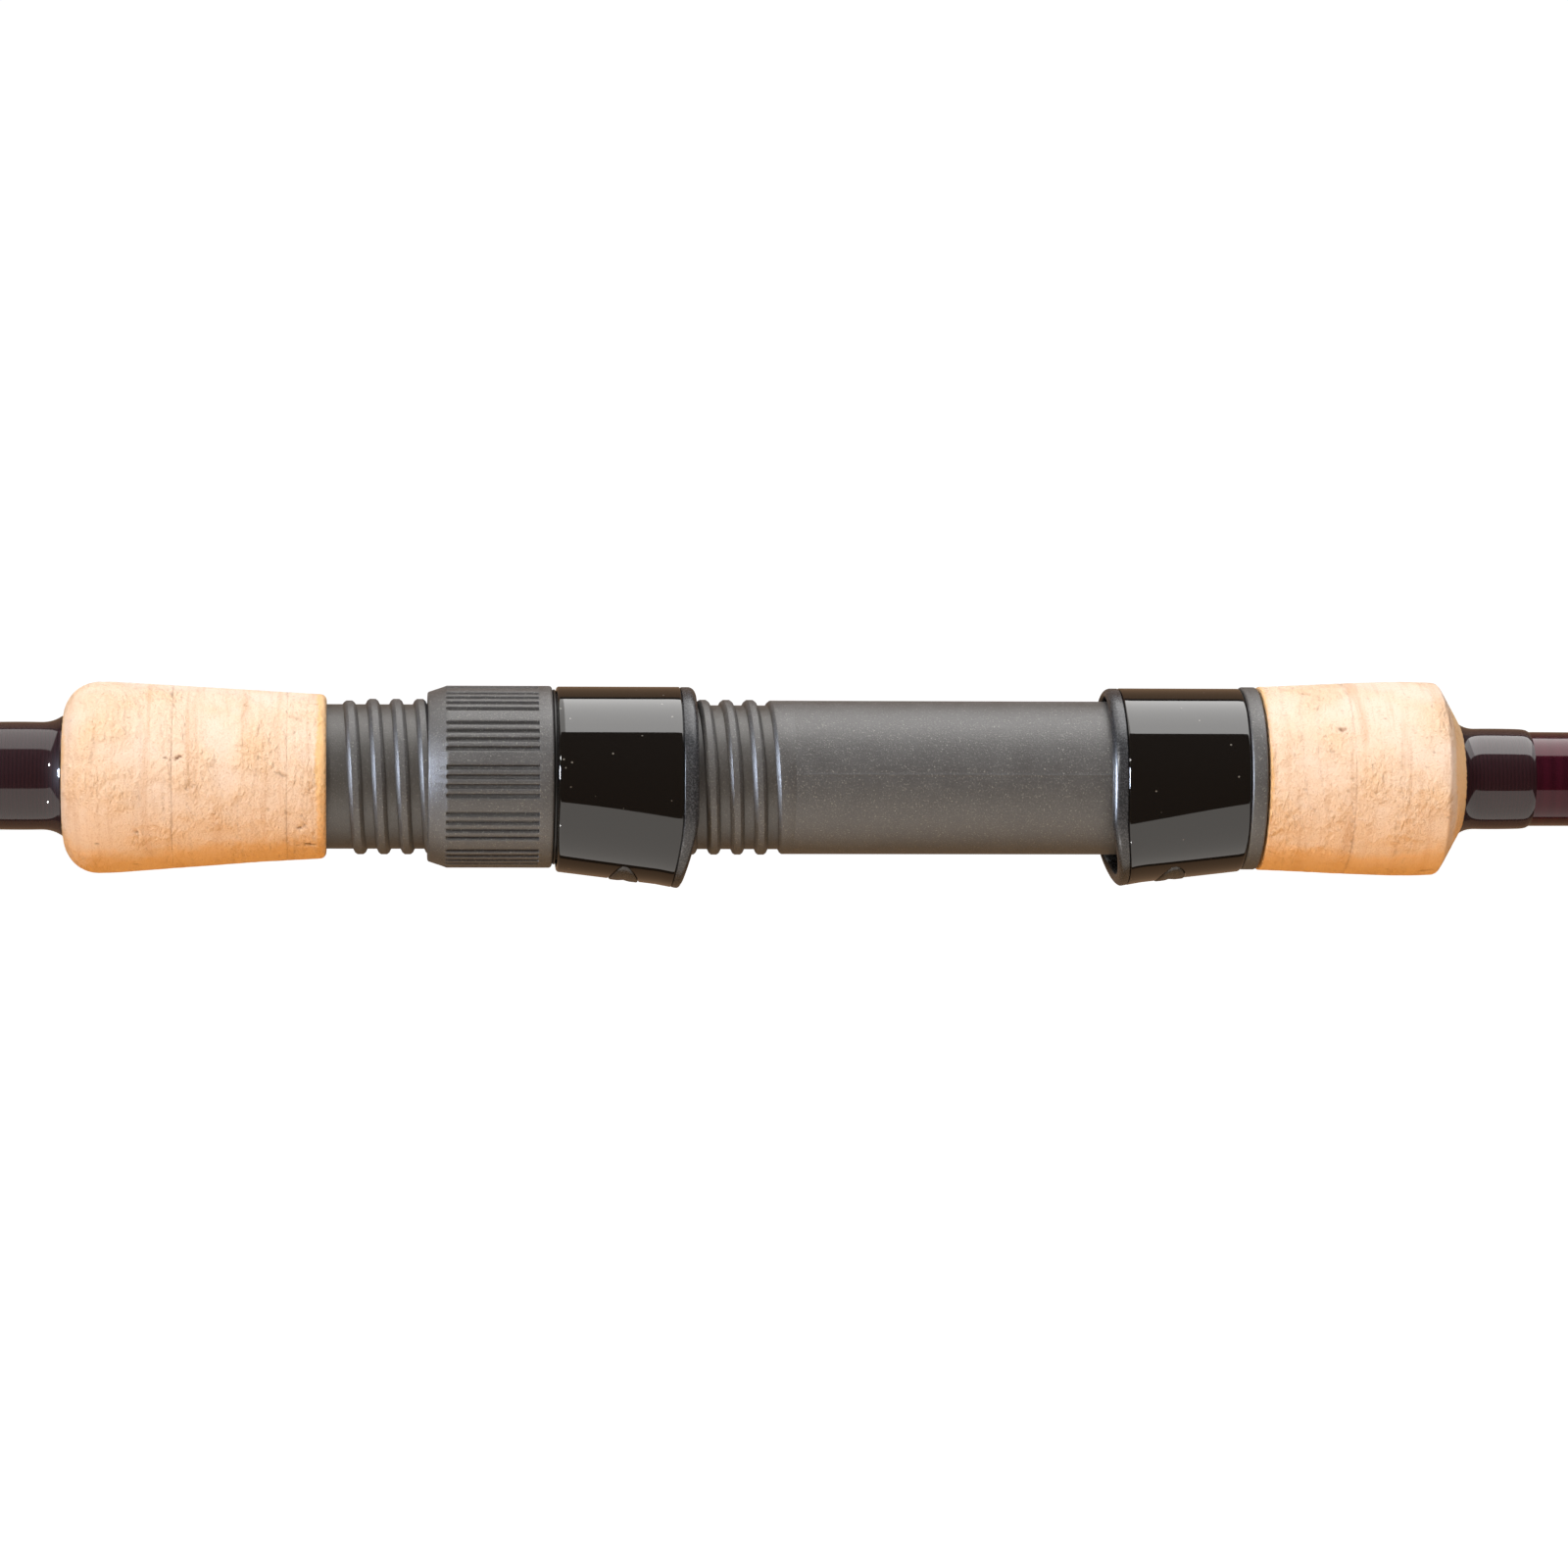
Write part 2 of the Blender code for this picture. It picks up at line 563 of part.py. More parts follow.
def tube_mesh(points, radius, sides=6):
    """A wire of round section through the points, with flat ends."""
    bm = bmesh.new()
    rings = []
    side = None
    for i, point in enumerate(points):
        before, after = points[max(i - 1, 0)], points[min(i + 1, len(points) - 1)]
        along = (Vector(after) - Vector(before)).normalized()
        side = along.orthogonal() if side is None else side - along * side.dot(along)
        side.normalize()
        other = along.cross(side)
        rings.append([bm.verts.new(Vector(point) + radius * (side * math.cos(a) + other * math.sin(a)))
                      for a in (2 * math.pi * k / sides for k in range(sides))])
    for low, high in zip(rings, rings[1:]):
        for k in range(sides):
            bm.faces.new((low[k], low[(k + 1) % sides], high[(k + 1) % sides], high[k]))
    bm.faces.new(rings[0])
    bm.faces.new(reversed(rings[-1]))
    return bm


def ring_mesh(x, height, inside, wall, width, sides):
    """A turned ring round the line x, z = -height, of rounded rectangular section."""
    corner = 0.3 * min(wall, width)
    outline = [(-width / 2 + corner, inside), (width / 2 - corner, inside), (width / 2, inside + corner),
               (width / 2, inside + wall - corner), (width / 2 - corner, inside + wall),
               (-width / 2 + corner, inside + wall), (-width / 2, inside + wall - corner),
               (-width / 2, inside + corner)]
    bm = turned_mesh(outline, sides)
    bmesh.ops.translate(bm, vec=(x, 0, -height), verts=bm.verts)
    return bm


def guide_leg(x, height, reach, foot, ring_radius, side, direction):
    """Route of one leg: along the blank, off it at the heel, and down to the ring's side."""
    heel = x + direction * reach
    toe = heel + direction * foot
    surface = -(blank_radius(heel) + GUIDE_WIRE + FOOT_CLEARANCE)
    toe_surface = -(blank_radius(toe) + GUIDE_WIRE + FOOT_CLEARANCE)
    meet = math.radians(38)
    ring_y = side * ring_radius * math.cos(meet)
    ring_z = -height + ring_radius * math.sin(meet)
    middle = ((heel + x) / 2, ring_y * 0.55, (surface + ring_z) / 2)
    return [(toe, 0.0, toe_surface), (heel, 0.0, surface), middle, (x, ring_y, ring_z)]


def make_guide(number, from_tip, inside, height, two_feet, paints):
    x = ROD_LENGTH - from_tip
    ceramic_wall = 0.22 * inside + 0.35 * MM
    band_inside = inside + ceramic_wall + RING_GAP
    sides = 20 if inside > 5 * MM else 16
    place(ring_mesh(x, height, inside, ceramic_wall, CERAMIC_WIDTH, sides), f"guide_{number}_ring",
          paints["ceramic"])
    frame = place(ring_mesh(x, height, band_inside, BAND_WALL, BAND_WIDTH, sides), f"guide_{number}_frame",
                  paints["steel"])
    reach = 0.75 * height + 1.5 * MM
    foot = 7 * MM + 0.2 * height
    legs = [(side, -1) for side in (-1, 1)]
    if two_feet:
        legs += [(side, 1) for side in (-1, 1)]
    for side, direction in legs:
        route = guide_leg(x, height, reach, foot, band_inside + 0.5 * BAND_WALL, side, direction)
        wire = place(tube_mesh(route, GUIDE_WIRE), f"guide_{number}_leg_{side}_{direction}", paints["steel"])
        boolean(frame, wire, "UNION")
    for direction in ([-1, 1] if two_feet else [-1]):
        word = "front" if direction > 0 else "rear"
        make_guide_winding(f"guide_{number}_{word}_wrap", x + direction * reach, direction, foot, paints)


def make_guide_winding(name, heel, direction, foot, paints):
    """The thread over a guide's foot: a sleeve on the blank with a channel for the foot."""
    start, end = heel + direction * 1.2 * MM, heel + direction * (foot + 2.5 * MM)
    low, high = min(start, end), max(start, end)
    cover = 2 * GUIDE_WIRE + 0.55 * MM
    shares = ((0.0, 0.15 * MM), (0.18, cover), (0.8, cover), (1.0, 0.15 * MM))
    outside = [(low + (high - low) * s, blank_radius(low) + h) for s, h in shares]
    sleeve = turned(name, outside + blank_bore(low, high, BLANK_SIDES), BLANK_SIDES, paints["winding"])
    channel_top = -(blank_radius(low) - 0.4 * MM)
    channel_low = -(blank_radius(low) + 2 * GUIDE_WIRE + 0.3 * MM)
    side = GUIDE_WIRE + FOOT_CLEARANCE
    near, far = heel - direction * 3 * MM, heel + direction * (foot + 0.3 * MM)
    cutter = box(f"{name}_channel", (min(near, far), -side, channel_low), (max(near, far), side, channel_top),
                 paints["winding"])
    boolean(sleeve, cutter, "DIFFERENCE")


def make_hook_keeper(paints):
    """A small wire staple ahead of the fore grip, held by a winding at each foot."""
    x, span, foot, wire, rise = 0.3660, 6.0 * MM, 4.0 * MM, 0.45 * MM, 3.6 * MM
    surface = blank_radius(x) + wire + FOOT_CLEARANCE
    route = [(x - span - foot, 0.0, surface), (x - span, 0.0, surface)]
    route += [(x - span * math.cos(a), 0.0, surface + rise * math.sin(a))
              for a in (math.radians(t) for t in (30, 60, 90, 120, 150))]
    route += [(x + span, 0.0, surface), (x + span + foot, 0.0, surface)]
    place(tube_mesh(route, wire), "hook_keeper", paints["steel"])
    for direction, word in ((-1, "rear"), (1, "front")):
        start, end = x + direction * (span + 0.6 * MM), x + direction * (span + foot + 1.2 * MM)
        low, high = min(start, end), max(start, end)
        cover = 2 * wire + 0.5 * MM
        outside = [(low, blank_radius(low) + 0.5 * cover), (low + 1.2 * MM, blank_radius(low) + cover),
                   (high - 1.2 * MM, blank_radius(low) + cover), (high, blank_radius(low) + 0.5 * cover)]
        sleeve = turned(f"hook_keeper_{word}_wrap", outside + blank_bore(low, high, BLANK_SIDES),
                        BLANK_SIDES, paints["winding"])
        near, far = x + direction * (span - 2 * MM), x + direction * (span + foot + 0.3 * MM)
        side = wire + FOOT_CLEARANCE
        cutter = box(f"keeper_channel_{word}", (min(near, far), -side, blank_radius(x) - 0.4 * MM),
                     (max(near, far), side, blank_radius(x) + 2 * wire + 0.25 * MM), paints["winding"])
        boolean(sleeve, cutter, "DIFFERENCE")


def make_tip_top(paints):
    """A tube glued over the tip, with two stays that carry the last ring ahead of and below it."""
    tube_start, tube_end = ROD_LENGTH - 0.018, ROD_LENGTH - 0.0045
    inner, outer = 1.02 * MM, 1.55 * MM
    ring_x, height = ROD_LENGTH - 0.0009, 3.6 * MM
    tube = turned("tip_top_frame", [(tube_start, outer), (tube_end, outer), (tube_end, 0.0),
                                    (tube_end - 1.0 * MM, 0.0), (tube_end - 1.0 * MM, inner),
                                    (tube_start, inner)], 12, paints["steel"])
    wall, band_wall = 0.7 * MM, 0.6 * MM
    place(ring_mesh(ring_x, height, TIP_RING_RADIUS, wall, 1.5 * MM, 16), "tip_top_ring", paints["ceramic"])
    band_inside = TIP_RING_RADIUS + wall + RING_GAP
    band = place(ring_mesh(ring_x, height, band_inside, band_wall, BAND_WIDTH, 16), "tip_top_band",
                 paints["steel"])
    boolean(tube, band, "UNION")
    for side in (-1, 1):
        meet = math.radians(50)
        ring_y = side * (band_inside + 0.5 * band_wall) * math.cos(meet)
        ring_z = -height + (band_inside + 0.5 * band_wall) * math.sin(meet)
        route = [(tube_end - 3.5 * MM, side * 1.0 * MM, -1.2 * MM), (ring_x, ring_y, ring_z)]
        stay = place(tube_mesh(route, 0.45 * MM), f"tip_stay_{side}", paints["steel"])
        boolean(tube, stay, "UNION")


def main():
    clear_scene()
    paints = make_finishes()
    slider = bpy.data.objects.new("sliding_hood_axis", None)
    bpy.context.scene.collection.objects.link(slider)
    spinner = bpy.data.objects.new("lock_nut_axis", None)
    bpy.context.scene.collection.objects.link(spinner)
    spinner.parent = slider

    make_blank(paints)
    make_butt_cap(paints)
    make_butt_grip(paints)
    make_winding("rear_grip_wrap", REAR_WRAP_START, REAR_GRIP_START - 0.1 * MM, 0.7 * MM, False, paints)
    make_rear_grip(paints)
    make_reel_seat(paints)
    make_arbors(paints)
    make_lock_nut(paints, spinner)
    turned("slip_washer", [(WASHER[0], WASHER_RADII[0]), (WASHER[0], WASHER_RADII[1]),
                           (WASHER[1], WASHER_RADII[1]), (WASHER[1], WASHER_RADII[0])],
           HOOD_SIDES, paints["washer"], slider)
    hood_pieces("sliding_hood", HOOD_START, HOOD_MOUTH, 2.1 * MM, HOOD_LUG_AT, SLIDING_LIFTS, paints, slider)
    hood_pieces("fixed_hood", SEAT_FLANGE_START - GLUE_GAP, FIXED_MOUTH, 0.1 * MM, FIXED_LUG_AT, FIXED_LIFTS,
                paints, seat_grip=4.5 * MM)
    make_fore_grip(paints)
    make_winding("fore_grip_wrap", FORE_GRIP_END + 0.1 * MM, FORE_WRAP_END, 0.9 * MM, True, paints,
                 flare=0.1 * MM)
    make_hook_keeper(paints)
    for number, (from_tip, inside, height, two_feet) in enumerate(GUIDES, 1):
        make_guide(number, from_tip, inside, height, two_feet, paints)
    make_tip_top(paints)


main()
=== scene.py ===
import math

import bpy
import numpy as np
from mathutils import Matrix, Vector, noise


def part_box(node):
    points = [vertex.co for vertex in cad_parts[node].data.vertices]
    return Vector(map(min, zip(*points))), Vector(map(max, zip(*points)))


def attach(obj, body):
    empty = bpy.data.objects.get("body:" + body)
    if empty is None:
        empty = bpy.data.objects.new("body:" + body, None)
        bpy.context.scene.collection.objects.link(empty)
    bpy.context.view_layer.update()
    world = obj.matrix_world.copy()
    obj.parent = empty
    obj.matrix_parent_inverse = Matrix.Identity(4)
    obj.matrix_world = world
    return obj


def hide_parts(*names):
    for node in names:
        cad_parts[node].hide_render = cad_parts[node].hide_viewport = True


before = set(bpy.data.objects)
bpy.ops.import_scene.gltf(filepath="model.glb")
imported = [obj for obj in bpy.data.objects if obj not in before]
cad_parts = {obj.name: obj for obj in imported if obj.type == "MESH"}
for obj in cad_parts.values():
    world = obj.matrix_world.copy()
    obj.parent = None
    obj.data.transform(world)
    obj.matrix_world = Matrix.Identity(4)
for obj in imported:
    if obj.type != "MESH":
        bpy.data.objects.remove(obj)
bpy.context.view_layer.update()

mm = 0.001
fullTurn = 2 * math.pi


# Angles run about the rod from +Y towards +Z, so 90 degrees is the top and 270 the reel side.
top = math.radians(90)


def stretch(node):
    low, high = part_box(node)
    return low[0], high[0]


# Tools for meshes

def turnRows(outline, angles):
    # rows of points, one per (x, r) pair of the outline
    x, r = np.array(outline, float).T
    a = np.asarray(angles, float)
    return np.stack(np.broadcast_arrays(x[:, None], r[:, None] * np.cos(a), r[:, None] * np.sin(a)), axis=2)


def evenAngles(sides, extra=()):
    return np.unique(np.concatenate([np.arange(sides) * fullTurn / sides, np.asarray(extra, float)]))


def arc(x, r, radius, start, end, steps=6):
    # round edge of an outline, in degrees from +X towards +r
    return [(x + radius * math.cos(math.radians(start + (end - start) * i / steps)), r + radius
        * math.sin(math.radians(start + (end - start) * i / steps))) for i in range(steps + 1)]


def shellFaces(rows, kind, first):
    # "ring" joins the last row to the first, "rod" closes both ends with a fan
    count, sides = rows.shape[:2]
    index = first + np.arange(count * sides).reshape(count, sides)
    following = np.roll(index, -1, axis=0) if kind == "ring" else index[1:]
    here = index if kind == "ring" else index[:-1]
    quads = np.stack([here, np.roll(here, -1, axis=1), np.roll(following, -1, axis=1), following], axis=2)
    faces = quads.reshape(-1, 4).tolist()
    points = rows.reshape(-1, 3)
    if kind == "rod":
        tips = first + count * sides
        points = np.concatenate([points, rows[0].mean(axis=0)[None], rows[-1].mean(axis=0)[None]])
        for k in range(sides):
            n = (k + 1) % sides
            faces.append([tips, int(index[0, n]), int(index[0, k])])
            faces.append([tips + 1, int(index[-1, k]), int(index[-1, n])])
    # a shell whose volume comes out negative is turned the right way out
    a, b, c, d = (points[np.array([f[corner] for f in faces]) - first] for corner in (0, 1, 2, -1))
    if np.einsum("ij,ij->", a, np.cross(b, c) + np.cross(c, d)) < 0:
        faces = [f[::-1] for f in faces]
    return points, faces


def makePiece(name, shells, sharp=32, marks=None):
    # shells are (rows, kind) pairs; marks holds a 0 to 1 value per point under each name, for the material
    points, faces = [], []
    for rows, kind in shells:
        first = sum(len(p) for p in points)
        newPoints, newFaces = shellFaces(rows, kind, first)
        points.append(newPoints)
        faces += newFaces
    mesh = bpy.data.meshes.new(name)
    mesh.from_pydata(np.concatenate(points).tolist(), [], faces)
    mesh.shade_smooth()
    mesh.set_sharp_from_angle(angle=math.radians(sharp))
    for mark, values in (marks or {}).items():
        layer = mesh.attributes.new(mark, "FLOAT", "POINT")
        padded = np.zeros(len(mesh.vertices), np.float32)
        padded[:values.size] = values.reshape(-1)
        layer.data.foreach_set("value", padded)
    piece = bpy.data.objects.new(name, mesh)
    bpy.context.scene.collection.objects.link(piece)
    return piece


def cutPiece(piece, cutter):
    modifier = piece.modifiers.new("cut", "BOOLEAN")
    modifier.operation = "DIFFERENCE"
    modifier.object = cutter
    graph = bpy.context.evaluated_depsgraph_get()
    mesh = bpy.data.meshes.new_from_object(piece.evaluated_get(graph))
    piece.modifiers.clear()
    piece.data = mesh
    mesh.name = piece.name
    bpy.data.objects.remove(cutter)


def dress(piece, material, slotName, body, *nodes):
    piece.data.materials.clear()
    piece.data.materials.append(material)
    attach(piece, body)
    if nodes:
        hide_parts(*nodes)
    return piece


# Tools for materials

def linear(hexColour):
    channels = [int(hexColour[i:i + 2], 16) / 255 for i in (1, 3, 5)]
    return tuple(c / 12.92 if c <= 0.04045 else ((c + 0.055) / 1.055) ** 2.4 for c in channels) + (1.0,)


def setSockets(tree, node, sockets):
    # a socket takes a link, another node's first output, a hex colour or a plain value
    for name, value in sockets.items():
        if isinstance(value, bpy.types.Node):
            value = value.outputs[0]
        if isinstance(value, bpy.types.NodeSocket):
            tree.links.new(value, node.inputs[name])
        else:
            node.inputs[name].default_value = linear(value) if isinstance(value, str) else value

def addNode(tree, kind, sockets=None, **settings):
    node = tree.nodes.new("ShaderNode" + kind)
    for name, value in settings.items():
        setattr(node, name, value)
    setSockets(tree, node, sockets or {})
    return node

def startMaterial(name, finish):
    material = bpy.data.materials.new(name)
    material.use_nodes = True
    tree = material.node_tree
    shader = tree.nodes["Principled BSDF"]
    setSockets(tree, shader, finish)
    place = addNode(tree, "TexCoord").outputs["Object"]
    return material, tree, shader, place

# Cork: bark rings, turned and sanded. Sanding leaves a dry, matt skin, pebbled where the grain is soft, with
# faint growth lines round the ring and a few dark open pores; the grip ends are a deeper ochre, and the
# underside gets the same ochre as painted warm light from below.
corkLook = {
    "pale": "#f0d6c1", "warm": "#efcaa6", "line": "#c48d58", "ochre": "#f3c07e", "pore": "#784519",
    "blotch": 6.0 * mm, "pebble": 0.62 * mm, "grain": 0.22 * mm, "lineStep": 1.3 * mm, "lineLength": 16.0
        * mm,
    "roughness": 0.70, "pebbleDepth": 0.68 * mm, "grainDepth": 0.20 * mm,
}


def makeCork(name):
    look = corkLook
    material, tree, shader, place = startMaterial(name, {"Roughness": look["roughness"], "IOR": 1.4,
        "Specular IOR Level": 0.2, "Sheen Weight": 0.08, "Sheen Roughness": 0.5})
    blotch = addNode(tree, "TexNoise", {"Vector": place, "Scale": 1 / look["blotch"], "Detail": 2.0})
    shade = addNode(tree, "MapRange", {"Value": blotch, "From Min": 0.36, "From Max": 0.70})
    base = addNode(tree, "Mix", {0: shade, 6: look["pale"], 7: look["warm"]}, data_type="RGBA")
    lineSpace = addNode(tree, "Mapping", {"Vector": place, "Scale": (
        1 / look["lineStep"], 1 / look["lineLength"], 1 / look["lineLength"])})
    lines = addNode(tree, "TexNoise", {"Vector": lineSpace, "Scale": 1.0, "Detail": 4.0, "Roughness": 0.6,
        "Distortion": 0.5})
    lineShare = addNode(tree, "MapRange", {"Value": lines, "From Min": 0.50, "From Max": 0.74,
        "To Max": 0.42})
    lined = addNode(tree, "Mix", {0: lineShare, 6: base.outputs[2], 7: look["line"]}, data_type="RGBA")
    grain = addNode(tree, "TexNoise", {"Vector": place, "Scale": 1 / look["grain"], "Detail": 3.0,
        "Roughness": 0.65})
    speckShare = addNode(tree, "MapRange", {"Value": grain, "From Min": 0.52, "From Max": 0.76,
        "To Max": 0.50})
    specked = addNode(tree, "Mix", {0: speckShare, 6: lined.outputs[2], 7: look["line"]}, data_type="RGBA")
    # band holds the ochre of the grip ends and the ochre painted on the underside as warm light from below
    band = addNode(tree, "Attribute", attribute_name="band")
    banded = addNode(tree, "Mix", {0: band.outputs["Fac"], 6: specked.outputs[2], 7: look["ochre"]},
        data_type="RGBA")
    wear = addNode(tree, "Attribute", attribute_name="wear")
    pored = addNode(tree, "Mix", {0: wear.outputs["Fac"], 6: banded.outputs[2], 7: look["pore"]},
        data_type="RGBA")
    setSockets(tree, shader, {"Base Color": pored.outputs[2]})
    pebbleSpace = addNode(tree, "Mapping", {"Vector": place, "Rotation": (0.0, 0.5, 0.0), "Scale": (
        1 / look["pebble"], 0.6 / look["pebble"], 0.6 / look["pebble"])})
    pebble = addNode(tree, "TexNoise", {"Vector": pebbleSpace, "Scale": 1.0, "Detail": 2.0,
        "Roughness": 0.5})
    soft = addNode(tree, "MapRange", {"Value": blotch, "From Min": 0.40, "From Max": 0.60, "To Min": 0.15})
    height = addNode(tree, "Math", {0: pebble, 1: soft}, operation="MULTIPLY")
    pebbleBump = addNode(tree, "Bump", {"Height": height, "Strength": 0.9, "Distance": look["pebbleDepth"]})
    bump = addNode(tree, "Bump", {"Height": grain, "Strength": 0.8, "Distance": look["grainDepth"],
        "Normal": pebbleBump})
    setSockets(tree, shader, {"Normal": bump})
    return material


# Graphite-filled nylon, injection moulded against a spark-eroded tool: an even satin grey with a fine
# sparkle where graphite flakes reach the surface, and painted shade, the root colour, darkening the thread's
# roots between the ridges.
seatLook = {"base": "#4e4d4c", "flake": "#b5b1a9", "dark": "#3b3938", "root": "#2a251e", "grit": 0.19 * mm,
    "cloud": 3.0 * mm, "roughness": 0.42, "relief": 0.07 * mm, "rootShadeAt": (8.2 * mm, 8.6 * mm)}


def makeGraphiteNylon(name):
    look = seatLook
    material, tree, shader, place = startMaterial(name, {"Roughness": look["roughness"], "IOR": 1.55,
        "Specular IOR Level": 0.75})
    grit = addNode(tree, "TexNoise", {"Vector": place, "Scale": 1 / look["grit"], "Detail": 3.0,
        "Roughness": 0.7})
    cloud = addNode(tree, "TexNoise", {"Vector": place, "Scale": 1 / look["cloud"], "Detail": 4.0})
    evened = addNode(tree, "MapRange", {"Value": cloud, "To Min": 0.30, "To Max": 0.70})
    together = addNode(tree, "Math", {0: grit, 1: evened}, operation="ADD")
    shade = addNode(tree, "MapRange", {"Value": together, "From Min": 0.75, "From Max": 1.25})
    base = addNode(tree, "Mix", {0: shade, 6: look["dark"], 7: look["base"]}, data_type="RGBA")
    flake = addNode(tree, "MapRange", {"Value": grit, "From Min": 0.59, "From Max": 0.74, "To Max": 0.55})
    flaked = addNode(tree, "Mix", {0: flake, 6: base.outputs[2], 7: look["flake"]}, data_type="RGBA")
    around = addNode(tree, "VectorMath", {0: place, 1: (0.0, 1.0, 1.0)}, operation="MULTIPLY")
    radius = addNode(tree, "VectorMath", {0: around}, operation="LENGTH")
    # painted shade: the colour darkens towards the root colour as the radius drops into the thread's roots
    paintedRootShade = addNode(tree, "MapRange", {"Value": radius.outputs["Value"], "From Min": look["rootShadeAt"][0],
        "From Max": look["rootShadeAt"][1], "To Min": 0.40})
    rootShadedColour = addNode(tree, "Mix", {0: paintedRootShade, 6: look["root"], 7: flaked.outputs[2]}, data_type="RGBA")
    setSockets(tree, shader, {"Base Color": rootShadedColour.outputs[2]})
    rough = addNode(tree, "MapRange", {"Value": cloud, "To Min": look["roughness"] - 0.04,
        "To Max": look["roughness"] + 0.04})
    setSockets(tree, shader, {"Roughness": rough})
    bump = addNode(tree, "Bump", {"Height": grit, "Strength": 0.7, "Distance": look["relief"]})
    setSockets(tree, shader, {"Normal": bump})
    return material


# ABS under black piano lacquer, sprayed and polished: mirror-like, with a little dust and a wiped haze.
glossLook = {"base": "#14110f", "dust": "#6d6a64", "dustStep": 1.9 * mm, "haze": 3.0 * mm, "ripple": 1.6
    * mm, "roughness": (0.02, 0.07)}


def makePianoLacquer(name):
    look = glossLook
    material, tree, shader, place = startMaterial(name, {"IOR": 1.52, "Coat Weight": 0.6,
        "Coat Roughness": 0.02, "Coat IOR": 1.5})
    dust = addNode(tree, "TexVoronoi", {"Vector": place, "Scale": 1 / look["dustStep"]})
    speck = addNode(tree, "MapRange", {"Value": dust, "From Min": 0.04, "From Max": 0.075, "To Min": 1.0,
        "To Max": 0.0})
    base = addNode(tree, "Mix", {0: speck, 6: look["base"], 7: look["dust"]}, data_type="RGBA")
    setSockets(tree, shader, {"Base Color": base.outputs[2]})
    haze = addNode(tree, "TexNoise", {"Vector": place, "Scale": 1 / look["haze"], "Detail": 4.0})
    rough = addNode(tree, "MapRange", {"Value": haze, "To Min": look["roughness"][0],
        "To Max": look["roughness"][1]})
    setSockets(tree, shader, {"Roughness": rough})
    wave = addNode(tree, "TexNoise", {"Vector": place, "Scale": 1 / look["ripple"], "Detail": 1.0})
    bump = addNode(tree, "Bump", {"Height": wave, "Strength": 0.15, "Distance": 0.01 * mm})
    setSockets(tree, shader, {"Normal": bump})
    return material


# Glass-filled nylon, moulded with a fine spark texture: charcoal with a cool satin sheen on its round lip.
linerLook = {"base": "#292a2d", "light": "#4e5054", "grit": 0.20 * mm, "roughness": 0.27}


def makeLinerNylon(name):
    look = linerLook
    material, tree, shader, place = startMaterial(name, {"Roughness": look["roughness"], "IOR": 1.53,
        "Specular IOR Level": 0.55})
    grit = addNode(tree, "TexNoise", {"Vector": place, "Scale": 1 / look["grit"], "Detail": 3.0,
        "Roughness": 0.65})
    share = addNode(tree, "MapRange", {"Value": grit, "From Min": 0.45, "From Max": 0.75})
    base = addNode(tree, "Mix", {0: share, 6: look["base"], 7: look["light"]}, data_type="RGBA")
    setSockets(tree, shader, {"Base Color": base.outputs[2]})
    bump = addNode(tree, "Bump", {"Height": grit, "Strength": 0.6, "Distance": 0.03 * mm})
    setSockets(tree, shader, {"Normal": bump})
    return material


# Graphite tube under dipped maroon lacquer: nearly black with a red depth, and the spiral left by the
# shrink tape just showing under a clear, wet gloss.
blankLook = {"base": "#300b17", "deep": "#280913", "pearl": "#b04a5c", "tape": 2.4 * mm}


def makeBlankLacquer(name):
    look = blankLook
    material, tree, shader, place = startMaterial(name, {"Roughness": 0.16, "IOR": 1.5,
        "Specular Tint": look["pearl"], "Coat Weight": 0.65, "Coat Roughness": 0.02, "Coat IOR": 1.45})
    tape = addNode(tree, "TexWave", {"Vector": place, "Scale": 0.5 / look["tape"], "Distortion": 0.6,
        "Detail": 2.0}, bands_direction="X")
    base = addNode(tree, "Mix", {0: tape.outputs["Fac"], 6: look["deep"], 7: look["base"]},
        data_type="RGBA")
    setSockets(tree, shader, {"Base Color": base.outputs[2]})
    return material


# Nylon winding thread under levelled rod epoxy: a thick, glassy, near-black maroon coat over fine turns of
# thread. The thread is 0.2 mm, and is drawn 0.45 mm wide so that it can be seen.
threadLook = {"thread": "#251015", "gap": "#1e0c11", "pitch": 0.45 * mm}


def makeWinding(name):
    look = threadLook
    material, tree, shader, place = startMaterial(name, {"Roughness": 0.5, "IOR": 1.5, "Coat Weight": 1.0,
        "Specular IOR Level": 0.1, "Coat Roughness": 0.05, "Coat IOR": 1.55})
    thread = addNode(tree, "TexWave", {"Vector": place, "Scale": 1 / (math.pi * look["pitch"]),
        "Distortion": 0.25}, bands_direction="X")
    base = addNode(tree, "Mix", {0: thread.outputs["Fac"], 6: look["gap"], 7: look["thread"]},
        data_type="RGBA")
    setSockets(tree, shader, {"Base Color": base.outputs[2]})
    return material


# The materials below each mix two tones by one pattern, which may also set the roughness or the relief.
def makeTwoTone(name, look):
    material, tree, shader, place = startMaterial(name, look["finish"])
    detail = {"Detail": look["detail"]} if "detail" in look else {}
    spots = addNode(tree, look.get("pattern", "TexNoise"), {"Vector": place, "Scale": 1 / look["step"],
        **detail})
    tone = addNode(tree, "Mix", {0: spots, 6: look["tones"][0], 7: look["tones"][1]}, data_type="RGBA")
    setSockets(tree, shader, {"Base Color": tone.outputs[2]})
    if "roughness" in look:
        low, high = look["roughness"]
        rough = addNode(tree, "MapRange", {"Value": spots, "To Min": low, "To Max": high})
        setSockets(tree, shader, {"Roughness": rough})
    if "relief" in look:
        bump = addNode(tree, "Bump", {"Height": spots, "Strength": 0.7, "Distance": look["relief"]})
        setSockets(tree, shader, {"Normal": bump})
    return material

# EVA rubber, moulded in a sand-blasted tool: soft black with a dusty, matt skin.
rubberLook = {"tones": ("#141414", "#2c2b2a"), "step": 0.3 * mm, "detail": 4.0, "relief": 0.06 * mm,
    "finish": {"Roughness": 0.7, "IOR": 1.5, "Sheen Weight": 0.15}}

